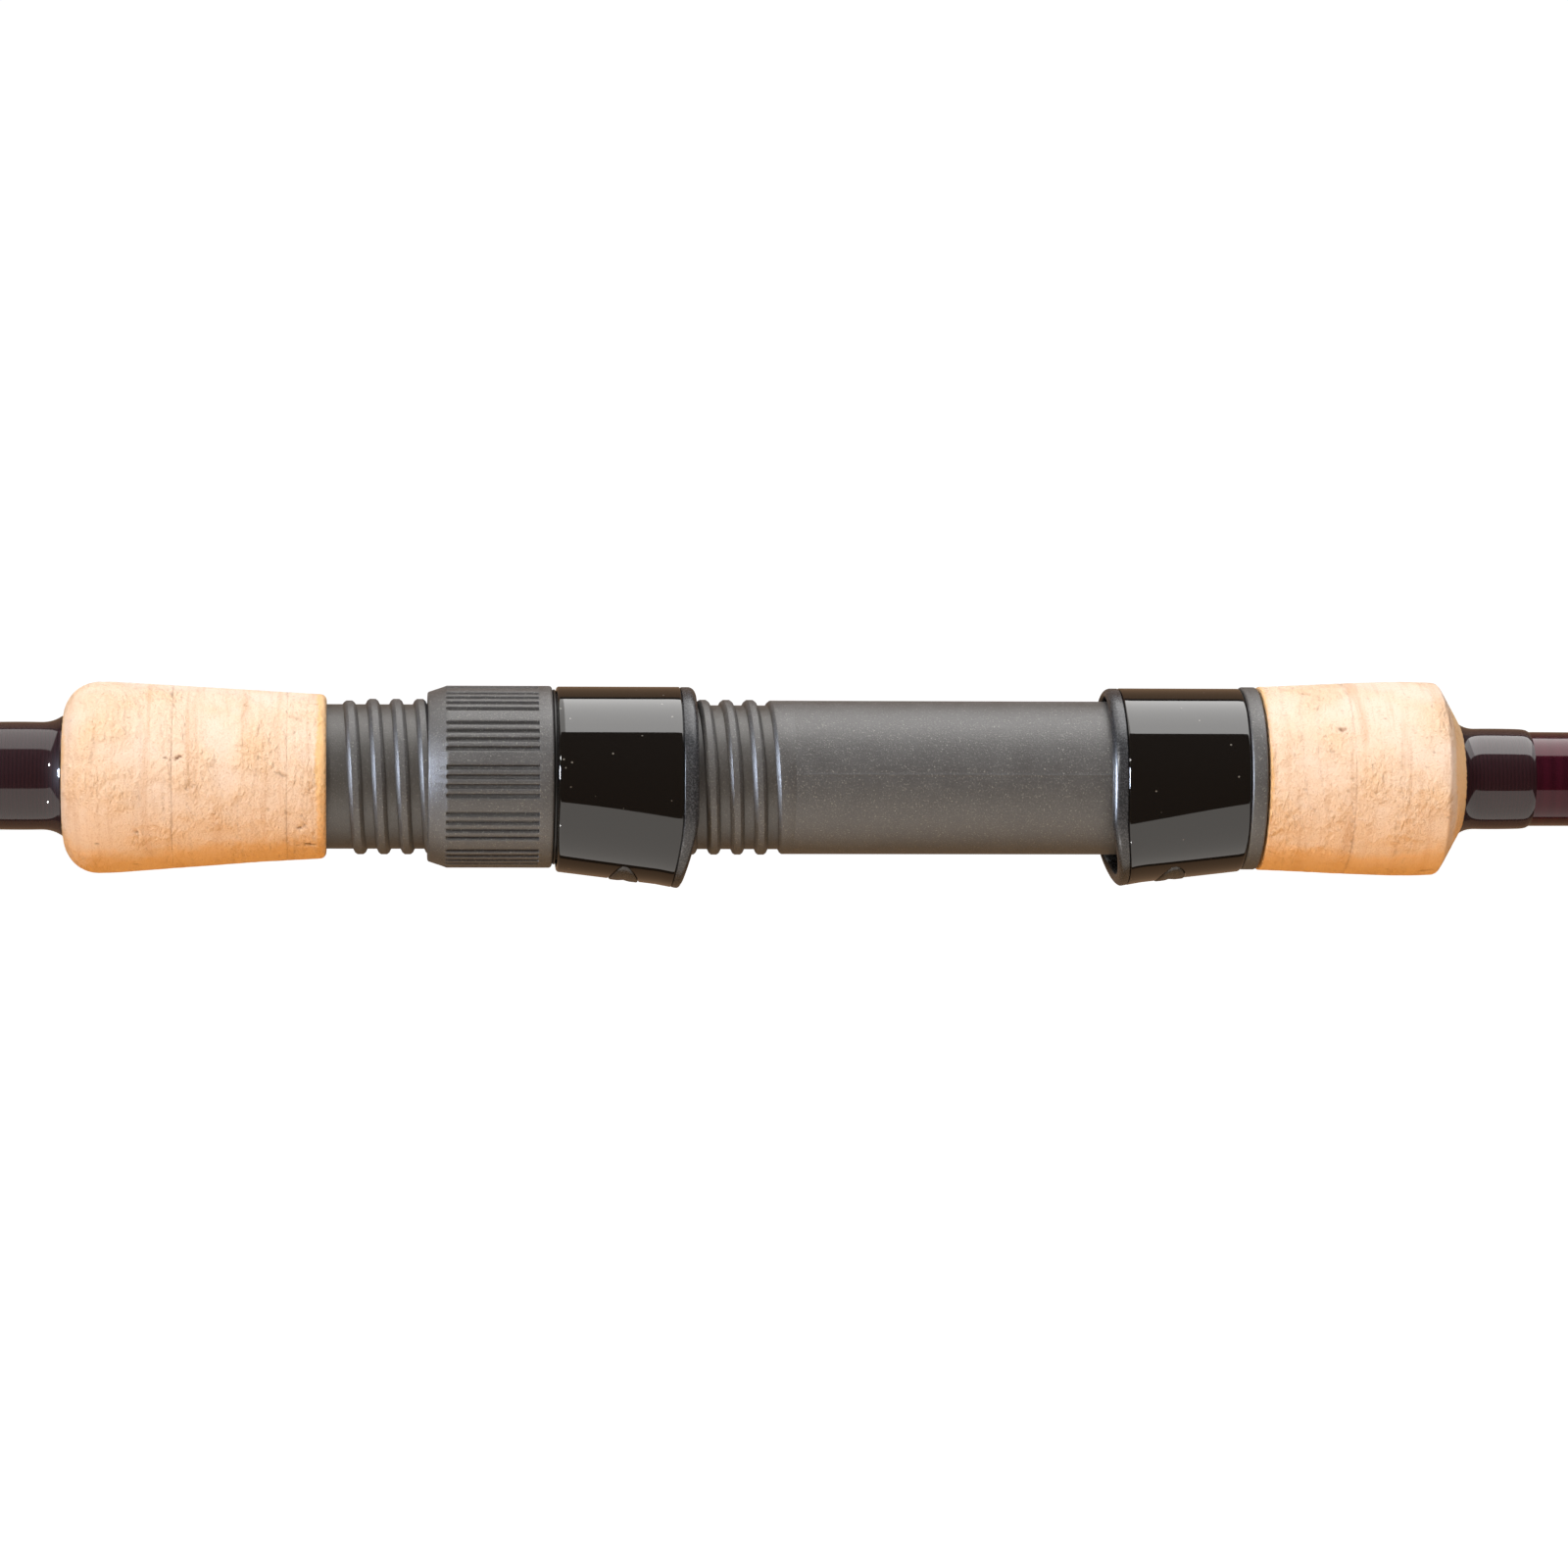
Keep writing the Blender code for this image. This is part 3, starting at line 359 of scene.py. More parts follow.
# Stainless steel wire, bent, welded and tumbled: bright, with a few soft smudges.
steelLook = {"tones": ("#97999b", "#c0c1c2"), "step": 2.0 * mm, "detail": 4.0, "roughness": (0.14, 0.34),
    "finish": {"Metallic": 1.0}}

# Alumina ceramic, sintered and diamond polished: dense black-grey with a glassy skin.
ceramicLook = {"tones": ("#1b1b1e", "#34343a"), "step": 0.8 * mm, "detail": 3.0, "roughness": (0.06, 0.18),
    "finish": {"IOR": 1.77}}

# Rigid polyurethane foam, turned: dull grey-green with an open cell.
foamLook = {"tones": ("#6f7062", "#a3a48f"), "step": 0.5 * mm, "pattern": "TexVoronoi",
    "finish": {"Roughness": 0.95, "IOR": 1.45}}

# Acetal, punched from black sheet: slippery, faintly waxy and a little mottled.
acetalLook = {"tones": ("#0b0b0b", "#1d1c1b"), "step": 0.4 * mm, "detail": 2.0,
    "finish": {"Roughness": 0.35, "IOR": 1.48}}

cork = makeCork("sandedCork")
graphiteNylon = makeGraphiteNylon("mouldedGraphiteNylon")
pianoLacquer = makePianoLacquer("polishedBlackLacquer")
linerNylon = makeLinerNylon("texturedLinerNylon")
blankLacquer = makeBlankLacquer("dippedMaroonLacquer")
windingEpoxy = makeWinding("threadUnderEpoxy")
rubber = makeTwoTone("mouldedRubber", rubberLook)
steel = makeTwoTone("tumbledSteelWire", steelLook)
ceramic = makeTwoTone("polishedAlumina", ceramicLook)
foam = makeTwoTone("turnedFoam", foamLook)
acetal = makeTwoTone("punchedAcetal", acetalLook)
print("materials ready")


# Blank

blank = {"radii": ((0.0035, 6.1), (0.170, 5.75), (0.345, 5.38), (1.824, 0.95)), "sides": 72, "wall": 0.8,
    "stations": 40, "glue": 0.06 * mm}


def blankRadius(x):
    xs, rs = zip(*blank["radii"])
    return float(np.interp(x, xs, rs)) * mm


def makeBlank():
    start, end = stretch("blank")
    xs = np.linspace(start, end, blank["stations"])
    outside = [(x, blankRadius(x)) for x in xs]
    inside = [(x, max(blankRadius(x) - blank["wall"] * mm, 0.35 * mm)) for x in xs[::-1]]
    piece = makePiece("blankTube", [(turnRows(outside + inside, evenAngles(blank["sides"])), "ring")])
    dress(piece, blankLacquer, "blank_lacquer", "rod", "blank")


makeBlank()


# Butt cap

buttCap = {
    "round": 2.6 * mm, "dish": 0.7 * mm, "dishRadius": 8.6 * mm, "ring": (3.0 * mm, 4.0 * mm),
        "ringDepth": 0.25 * mm,
    "slope": 0.2 * mm, "lip": 0.5 * mm, "grooves": 2, "groove": 0.35 * mm, "firstGroove": 1.0 * mm,
    "groovePitch": 2.0 * mm, "sides": 128, "length": 8.0 * mm, "bore": 6.4 * mm, "plug": 4.8 * mm,
        "wall": 3.2 * mm,
}

def makeButtCap():
    low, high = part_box("butt_cap")
    cap = buttCap
    x0, radius, edge, slope = low[0], high[2], cap["round"], cap["slope"]
    floor, finish = x0 + cap["dish"], x0 + cap["length"]
    sunk = floor - cap["ringDepth"]
    outline = [(floor, 0.001 * mm), (floor, cap["ring"][0]), (sunk, cap["ring"][0] + slope)]
    outline += [(sunk, cap["ring"][1] - slope), (floor, cap["ring"][1]),
        (floor, cap["dishRadius"] - 0.5 * mm)]
    outline += [(x0 + 0.15 * mm, cap["dishRadius"]), (x0, cap["dishRadius"] + slope)]
    outline += arc(x0 + edge, radius - edge, edge, 180, 90, 14)
    for k in range(cap["grooves"]):
        at = x0 + edge + cap["firstGroove"] + k * cap["groovePitch"]
        outline += [(at - cap["groove"], radius), (at - slope, radius - cap["groove"]),
            (at + slope, radius - cap["groove"]), (at + cap["groove"], radius)]
    outline += arc(finish - cap["lip"], radius - cap["lip"], cap["lip"], 90, 0, 6)
    outline += [(finish, cap["bore"]), (x0 + cap["wall"], cap["bore"]), (x0 + cap["wall"], cap["plug"]),
        (high[0], cap["plug"] - slope), (high[0], 0.001 * mm)]
    piece = makePiece("buttCapRubber", [(turnRows(outline, evenAngles(cap["sides"])), "ring")])
    dress(piece, rubber, "butt_rubber", "rod", "butt_cap")

makeButtCap()


# Cork grips. Each grip's body gives (distance from its start, radius) in mm, and rounds its two end radii.

gripShapes = {
    "butt_grip": {"body": ((0, 11.9), (22, 12.6), (45, 11.9), (76.9, 9.8), (88.9, 9.4)), "rounds": (0.4, 3.2),
                  "sides": 200, "step": 0.32, "pores": 22, "soft": 4.0, "bands": (0.5, 1.5),
                  "reach": 0.0, "sag": 0.0},
    "rear_grip": {"body": ((0, 10.62), (5.9, 10.57), (29.5, 9.22)), "rounds": (4.1, 0.7),
                  "sides": 320, "step": 0.17, "pores": 34, "soft": 0.6, "bands": (0.4, 1.1),
                  "reach": 0.0, "sag": 0.4},
    "fore_grip": {"body": ((0, 10.42), (9.7, 10.86), (16, 11.08), (20, 11.02), (23.1, 10.6)),
        "rounds": (0.2, 0.5),
                  "sides": 320, "step": 0.17, "pores": 34, "soft": 1.0, "chamfer": (6.3, 1.75),
                      "bands": (0.35, 1.9),
                  "reach": 0.35, "sag": 0.0},
}
corkRelief = {"seam": 0.05 * mm, "seamWidth": 0.12 * mm, "pebble": 0.035 * mm, "swell": 0.04 * mm,
    "line": 0.060 * mm, "lineWidth": 0.12 * mm, "poreDepth": 0.27 * mm, "lines": 7, "lineDark": 0.22,
    "poreDark": (0.55, 0.85), "seamDark": 0.40, "bandShare": 0.75, "paintedUndersideShare": 0.55, "sagLength": 22 * mm,
    "sagDepth": 10 * mm}


def gripRadius(shape, start, end, xs):
    # the body's straight runs are eased into each other over the grip's soft length
    along, radii = np.array(shape["body"], float).T * mm
    soft = shape["soft"] * mm
    spread = np.linspace(-soft, soft, 9)
    r = np.mean([np.interp(np.clip(xs - start + s, 0, end - start), along, radii) for s in spread], axis=0)
    rear, foremost = shape["rounds"][0] * mm, shape["rounds"][1] * mm
    into = np.clip(start + rear - xs, 0, rear)
    out = np.clip(xs - end + foremost, 0, foremost)
    r = r - (rear - np.sqrt(rear ** 2 - into ** 2)) - (foremost - np.sqrt(foremost ** 2 - out ** 2))
    if "chamfer" in shape:
        foot, slope = shape["chamfer"]
        cut = foot * mm + slope * (end - xs)
        r = 0.5 * (r + cut - np.sqrt((r - cut) ** 2 + (0.25 * mm) ** 2))
    return r


def corkSurface(rows, low, high, shape, seed, ends):
    # moves the outside rows in along their radius, and returns them with how open the cork is and how ochre,
    # the ochre including painted warm light on the underside
    relief = corkRelief
    rng = np.random.default_rng(seed)
    x = rows[..., 0]
    r = np.hypot(rows[..., 1], rows[..., 2])
    a = np.arctan2(rows[..., 2], rows[..., 1]) % fullTurn
    offset = Vector((seed * 3.7, seed * 1.3, seed * 2.1))

    def fieldOf(size):
        return np.array([noise.noise(Vector(p) / size + offset) for p in rows.reshape(-1,
            3)]).reshape(x.shape)

    swell, pebble, ragged = fieldOf(5.5 * mm), fieldOf(0.75 * mm), fieldOf(0.35 * mm)
    patch = np.clip(swell * 1.6 + 0.45, 0, 1)
    depth = relief["swell"] * swell * 0.5 + relief["pebble"] * pebble * patch
    dark = np.zeros_like(x)
    for _ in range(relief["lines"]):        # growth lines wander round the ring and fade in and out
        at, sway, phase = rng.uniform(low, high), rng.uniform(0.2, 0.7) * mm, rng.uniform(0, 6)
        path = at + sway * np.sin(rng.integers(1, 4) * a + phase) + 0.5 * mm * swell + 0.18 * mm * pebble
        held = np.clip(np.sin(a * rng.integers(1, 4) + phase * 2) * 1.4, 0, 1) * np.clip(0.5 + ragged * 1.6,
            0, 1)
        groove = np.exp(-((x - path) / relief["lineWidth"]) ** 2) * held
        depth += relief["line"] * groove
        dark = np.maximum(dark, relief["lineDark"] * groove)
    for _ in range(shape["pores"]):
        cx, ca = rng.uniform(low + 0.4 * mm, high - 0.4 * mm), rng.uniform(0, fullTurn)
        small = rng.random() < 0.85
        wide, tall = rng.uniform(0.15, 0.40), rng.uniform(0.12, 0.25)
        if not small:
            wide, tall = rng.uniform(0.5, 1.1), rng.uniform(0.15, 0.32)
        tilt = rng.uniform(-0.6, 0.6)
        da = (a - ca + math.pi) % fullTurn - math.pi
        u, v = x - cx, da * r
        p, q = u * math.cos(tilt) + v * math.sin(tilt), v * math.cos(tilt) - u * math.sin(tilt)
        inside = np.clip(1 - (p / (wide * mm)) ** 2 - (q / (tall * mm)) ** 2 + 0.9 * ragged, 0, 1)
        inside = np.where((p / wide) ** 2 + (q / tall) ** 2 < 3 * mm ** 2, inside, 0)
        deep = rng.uniform(0.3, 1.0)
        depth += relief["poreDepth"] * deep * inside * (0.5 if small else 1.0)
        dark = np.maximum(dark, deep * inside * relief["poreDark"][0 if small else 1])
    for edge in (low, high):        # glue lines, chipped here and there
        away = np.abs(x - edge + 0.25 * mm * ragged) / relief["seamWidth"]
        chip = np.clip(0.35 + 1.2 * swell + 0.6 * ragged, 0, 1)
        depth += relief["seam"] * np.exp(-away ** 2) * (0.3 + chip)
        dark = np.maximum(dark, relief["seamDark"] * np.exp(-away ** 2) * chip)
    band = np.zeros_like(x)
    for edge, width in ends:        # harder, ochre bark where a grip ends
        inBand = width * mm - np.abs(x - edge) + 0.5 * mm * swell + 0.2 * mm * ragged
        band = np.maximum(band, np.clip(inBand / (0.3 * mm), 0, 1) * relief["bandShare"])
    # painted warm light: the underside is coloured ochre as though lit by a warm bounce from below
    paintedWarmUnderside = np.clip((-np.sin(a) - 0.72 - 0.12 * swell - 0.05 * pebble) * 8, 0, 1)
    band = np.maximum(band, paintedWarmUnderside * relief["paintedUndersideShare"])
    share = (r - depth) / r
    moved = rows.copy()
    moved[..., 1] *= share
    moved[..., 2] *= share
    return moved, np.clip(dark, 0, 1), band


def makeGrip(grip, numbers, boreAt):
    shape = gripShapes[grip]
    start, end = stretch(f"{grip}_ring_1")[0], stretch(f"{grip}_ring_{numbers[-1]}")[1] + shape["reach"] * mm
    angles = evenAngles(shape["sides"])
    for number in numbers:
        node = f"{grip}_ring_{number}"
        low, high = stretch(node)
        low = low - 0.02 * mm if number > 1 else start
        high = high + 0.02 * mm if number < numbers[-1] else end
        count = int((high - low) / (shape["step"] * mm)) + 2
        xs = np.linspace(low, high, count)
        for edge, direction, isEnd in ((start, 1, number == 1), (end, -1, number == numbers[-1])):
            radius = shape["rounds"][0 if direction > 0 else 1] * mm
            if isEnd:       # more stations where the end turns over
                xs = np.append(xs, edge + direction * radius * (1 - np.cos(np.linspace(0.05, 1.5, 14))))
        xs = np.unique(np.clip(xs, low, high))
        outside = list(zip(xs, gripRadius(shape, start, end, xs)))
        ends = [(edge, width) for edge, width in zip((start, end), shape["bands"]) if low - mm < edge < high
            + mm]
        rows = turnRows(outside, angles)
        hang = np.clip(1 - (rows[..., 0] - start) / corkRelief["sagLength"], 0, 1)
        hang = hang * np.clip(-rows[..., 2] / corkRelief["sagDepth"], 0, 1)
        rows[..., 2] -= shape["sag"] * mm * hang
        rows, dark, band = corkSurface(rows, low, high, shape, number + 10 * len(numbers), ends)
        rows = np.concatenate([rows, turnRows(boreAt(low, high), angles)])
        piece = makePiece(f"{grip.replace('_g', 'G')}Cork{number}", [(rows, "ring")], 40,
            {"wear": dark, "band": band})
        dress(piece, cork, "cork", "rod", node)


def onBlank(low, high):
    return [(x, blankRadius(x) + blank["glue"]) for x in (high, low)]


def onSkirt(low, high):
    # the rear grip's last rings sit over the seat's skirt
    skirt = stretch("reel_seat")[0]
    wide = reelSeat["root"] + blank["glue"]
    if high <= skirt:
        return onBlank(low, high)
    if low >= skirt:
        return [(high, wide), (low, wide)]
    return [(high, wide), (skirt - 0.3 * mm, wide)] + onBlank(low, skirt - 0.3 * mm)


# Reel seat: a threaded tube. All of these follow the seat's own box.

seatStart, seatEnd = stretch("reel_seat")
reelSeat = {
    "root": 8.15 * mm, "crest": 8.77 * mm, "barrel": 8.70 * mm, "flange": 10.4 * mm, "bore": 7.1 * mm,
    "threadStart": seatStart + 14.9 * mm, "threadEnd": seatEnd - 55.0 * mm, "flangeStart": seatEnd - 1.8 * mm,
    "pitch": 2.66 * mm, "crestWidth": 1.05 * mm, "baseWidth": 1.60 * mm, "ridgeAtTop": seatStart + 18.02 * mm,
    "keyWidth": 3.0 * mm, "keyFloor": 7.75 * mm, "keyEnd": seatStart + 71.5 * mm,
        "partingAt": math.radians(178),
    "partingHeight": 0.03 * mm, "sides": 180, "ridgeSunk": 0.3 * mm, "ridgeSoft": 0.20 * mm,
}


def seatAngles():
    # extra lines at the keyway's walls, at +Y, and at the parting line on each side
    wall = math.asin(0.5 * reelSeat["keyWidth"] / reelSeat["barrel"])
    extra = [side * wall * part % fullTurn for side in (-1, 1) for part in (0.97, 1.03)]
    for at in (reelSeat["partingAt"], reelSeat["partingAt"] + math.pi):
        extra += [(at + math.radians(d)) % fullTurn for d in (-0.75, -0.35, 0.0, 0.35, 0.75)]
    return evenAngles(reelSeat["sides"], extra)


def cutKeyway(rows, end):
    inside = (rows[..., 1] > 0) & (np.abs(rows[..., 2]) < 0.5 * reelSeat["keyWidth"]) & (rows[..., 0] < end)
    rows[..., 1] = np.where(inside, np.minimum(rows[..., 1], reelSeat["keyFloor"]), rows[..., 1])
    return rows


def threadRidge(firstTurn, lastTurn, fadeTurns, fillTo=None):
    # sweeps the ridge's section along the helix, by turns counted from the ridge at the top
    seat = reelSeat
    perTurn = seat["sides"]
    count = int(round((lastTurn - firstTurn) * perTurn))
    sunk, soft = seat["ridgeSunk"], seat["ridgeSoft"]
    slope = (seat["baseWidth"] - seat["crestWidth"]) / (seat["crest"] - seat["root"])
    rows = []
    for i in range(count + 1):
        turns = firstTurn + (lastTurn - firstTurn) * i / count
        x = seat["ridgeAtTop"] + turns * seat["pitch"]
        angle = top + turns * fullTurn
        ends = min(min(i, count - i) / (fadeTurns * perTurn), 1.0) if fadeTurns else 1.0
        crest = seat["root"] + (seat["crest"] - seat["root"]) * ends - (1 - ends) * 0.1 * mm
        base, half = 0.5 * seat["baseWidth"] + 0.5 * slope * sunk, 0.5 * seat["crestWidth"]
        crest = crest if fillTo is None else seat["barrel"]
        foot = seat["root"] - sunk
        section = [(x - base, foot), (x - half - 0.3 * soft, crest - soft), (x - half + soft, crest)]
        if fillTo is None:
            section += [(x + half - soft, crest), (x + half + 0.3 * soft, crest - soft), (x + base, foot)]
        else:
            section += [(fillTo - 0.02 * mm, crest), (fillTo, crest - 0.01 * mm), (fillTo, foot)]
        rows.append([(sx, sr * math.cos(angle), sr * math.sin(angle)) for sx, sr in section])
    return np.array(rows)


def makeReelSeat():
    seat = reelSeat
    lastTurn = round((seat["threadEnd"] - seat["ridgeAtTop"]) / seat["pitch"] - 0.25) - 0.25
    fillTo = seat["ridgeAtTop"] + (lastTurn + 1) * seat["pitch"] + 0.1 * mm
    angles = seatAngles()
    root, barrel, edge = seat["root"], seat["barrel"], 0.3 * mm
    outline = [(seatStart, root), (fillTo - 0.02 * mm, root)]
    outline += [(fillTo - 0.01 * mm, barrel), (seat["keyEnd"] - 0.01 * mm, barrel), (seat["keyEnd"], barrel)]
    outline += [(x, barrel) for x in np.linspace(seat["keyEnd"] + 2 * mm, seat["flangeStart"] - 0.2 * mm, 12)]
    outline += [(seat["flangeStart"], barrel), (seat["flangeStart"], seat["flange"] - 0.25 * mm)]
    outline += arc(seat["flangeStart"] + 0.25 * mm, seat["flange"] - 0.25 * mm, 0.25 * mm, 180, 90, 4)
    outline += arc(seatEnd - edge, seat["flange"] - edge, edge, 90, 0, 5)
    outline += [(seatEnd, seat["bore"]), (seatStart, seat["bore"])]
    rows = turnRows(outline, angles)
    # the parting line stands proud along the barrel only
    r = np.hypot(rows[..., 1], rows[..., 2])
    away = np.abs((angles - seat["partingAt"] + math.pi / 2) % math.pi - math.pi / 2)
    proud = seat["partingHeight"] * (away < math.radians(0.5))[None, :] * (np.abs(r - barrel) < 0.02 * mm)
    rows[..., 1:] *= ((r + proud) / r)[..., None]
    shells = [(cutKeyway(rows, seat["keyEnd"] - 0.005 * mm), "ring")]
    first = (seat["threadStart"] - seat["ridgeAtTop"]) / seat["pitch"]
    for ridge in (threadRidge(first, lastTurn, 0.25), threadRidge(lastTurn, lastTurn + 1, 0, fillTo)):
        shells.append((cutKeyway(ridge, seat["keyEnd"]), "rod"))
    piece = makePiece("reelSeatTube", shells, 30)
    dress(piece, graphiteNylon, "seat_graphite", "rod", "reel_seat")


makeGrip("butt_grip", range(1, 8), onBlank)
makeGrip("rear_grip", range(1, 4), onSkirt)
makeGrip("fore_grip", range(1, 3), onBlank)
print("grips ready")
makeReelSeat()


# Lock nut: knurled in groups of four slots, with every fifth left plain.

lockNut = {"face": 9.6 * mm, "radius": 10.28 * mm, "bore": 8.86 * mm, "neck": 9.35 * mm, "cone": 2.1 * mm,
    "knurlEnd": 12.4 * mm, "bodyEnd": 14.0 * mm, "slots": 60, "skip": 5, "turnedBy": math.radians(18.2),
    "depth": 0.42 * mm, "slotTop": 0.29 * mm, "slotFloor": 0.14 * mm, "edge": 0.35 * mm}


def makeLockNut():
    nut = lockNut
    start, end = stretch("lock_nut")
    pitch = fullTurn / nut["slots"]
    wide, narrow = nut["slotTop"] / nut["radius"], nut["slotFloor"] / nut["radius"]
    angles, shares = [], []
    for slot in range(nut["slots"]):
        middle = nut["turnedBy"] + slot * pitch
        cut = 1.0 if slot % nut["skip"] else 0.0
        for away, share in ((-0.5 * pitch, 0), (-wide * 1.15, 0), (-wide, 0.06), (-narrow, 0.92), (0, 1),
                (narrow, 0.92), (wide, 0.06), (wide * 1.15, 0)):
            angles.append(middle + away)
            shares.append(share * cut)
    radius, edge = nut["radius"], nut["edge"]
    stations = [(0.0, nut["bore"] + 0.1 * mm, 0), (0.0, nut["face"] - 0.25 * mm, 0)]
    stations += [(x, r, 0) for x, r in arc(0.25 * mm, nut["face"] - 0.25 * mm, 0.25 * mm, 180, 110, 4)]
    stations += [(nut["cone"] - 0.35 * mm, radius - 0.16 * mm, 0),
        (nut["cone"] - 0.12 * mm, radius - 0.07 * mm, 0.1), (nut["cone"] + 0.05 * mm, radius, 0.75),
        (nut["cone"] + 0.3 * mm, radius, 1.0), (nut["knurlEnd"] - 0.04 * mm, radius, 1.0),
        (nut["knurlEnd"], radius, 0.0)]
    stations += [(x, r, 0) for x, r in arc(nut["bodyEnd"] - edge, radius - edge, edge, 90, 0, 6)]
    stations += [(nut["bodyEnd"], nut["neck"], 0), (end - start, nut["neck"], 0),
        (end - start, nut["bore"] + 0.35 * mm, 0), (nut["bodyEnd"], nut["bore"] + 0.35 * mm, 0),
        (nut["bodyEnd"], nut["bore"], 0), (0.1 * mm, nut["bore"], 0)]
    rows = turnRows([(start + x, r) for x, r, _ in stations], angles)
    r = np.hypot(rows[..., 1], rows[..., 2])
    depth = nut["depth"] * np.array([s[2] for s in stations])[:, None] * np.array(shares)[None, :]
    rows[..., 1:] *= ((r - depth) / r)[..., None]
    piece = makePiece("lockNutKnurled", [(rows, "ring")], 28)
    dress(piece, graphiteNylon, "seat_graphite", "lock_nut", "lock_nut")


def makeWasher():
    low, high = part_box("slip_washer")
    x0, x1, inner, outer = low[0], high[0], 9.45 * mm, high[2]
    outline = [(x0, inner), (x0, outer - 0.1 * mm), (x0 + 0.1 * mm, outer), (x1 - 0.1 * mm, outer),
        (x1, outer - 0.1 * mm), (x1, inner)]
    piece = makePiece("slipWasherDisc", [(turnRows(outline, evenAngles(120)), "ring")])
    dress(piece, acetal, "washer_acetal", "sliding_hood", "slip_washer")


makeLockNut()
makeWasher()


# Hoods: a lacquered shell over a moulded liner whose round lip shows at the mouth.

hood = {
    "radius": 10.22 * mm, "wall": 0.50 * mm, "lip": 1.75 * mm, "lipRound": 0.85 * mm, "bore": 9.20 * mm,
    "pocket": 1.75 * mm, "pocketCurve": 1.3, "mouthRound": 0.55 * mm, "mouthRise": 0.35 * mm,
    "setback": 1.6 * mm, "setbackTop": -5.0 * mm, "setbackLow": -12.2 * mm, "setbackReach": 4.5 * mm,
    "setbackCurve": 1.2, "edge": 0.30 * mm, "sides": 192, "lugHalf": (1.65 * mm, 5.5 * mm), "lugRise": 0.10
        * mm,
    "lugMargin": 0.18 * mm, "gap": 0.10 * mm,
    "sliding": {"lifts": (0.50 * mm, 2.45 * mm), "swell": 1.2, "linerStart": 2.1 * mm, "lugAt": 7.6 * mm},
    "fixed": {"lifts": (0.38 * mm, 2.15 * mm), "swell": 1.5, "linerStart": 0.1 * mm, "lugAt": 8.0 * mm},
}


def shapeHood(rows, mouth, inward, liftOf, swell):
    # swells the rows towards -Z and sets the mouth back on the reel side
    x, y, z = rows[..., 0], rows[..., 1], rows[..., 2]
    r = np.hypot(y, z)
    swelling = np.sin(np.minimum(swell * np.arcsin(np.clip(-z / r, 0, 1)), math.pi / 2)) ** 2
    grown = r + liftOf(x, r) * swelling
    y, z = y * grown / r, z * grown / r
    near = np.clip(1 - (mouth - x) * inward / hood["setbackReach"], 0, 1)
    low = np.clip((hood["setbackTop"] - z) / (hood["setbackTop"] - hood["setbackLow"]), 0, 1)
    return np.stack([x - inward * hood["setback"] * near * low ** hood["setbackCurve"], y, z], axis=2)


def ovalRows(x, margin, high, lowAt, sides=64, crown=0.0):
    # an upright oval block below the axis; lowAt gives the depth of its foot at a point, crowned at the edge
    halfX, halfY = hood["lugHalf"][0] + margin, hood["lugHalf"][1] + margin
    angles = np.arange(sides) * fullTurn / sides
    levels = [(None, 1.0, 0.0), (lowAt, 1.0, crown)]
    levels += [(lowAt, 1 - (crown / halfX) * (1 - math.cos(t)), crown * (1 - math.sin(t)))
        for t in (0.5, 1.0, math.pi / 2) if crown]
    levels += [(lowAt, share, 0.0) for share in (0.7, 0.4)]
    return np.array([[(x + halfX * s * math.cos(a), halfY * s * math.sin(a), -high if level is None else up
        - level(x + halfX * s * math.cos(a), halfY * s * math.sin(a))) for a in angles] for level, s,
        up in levels])


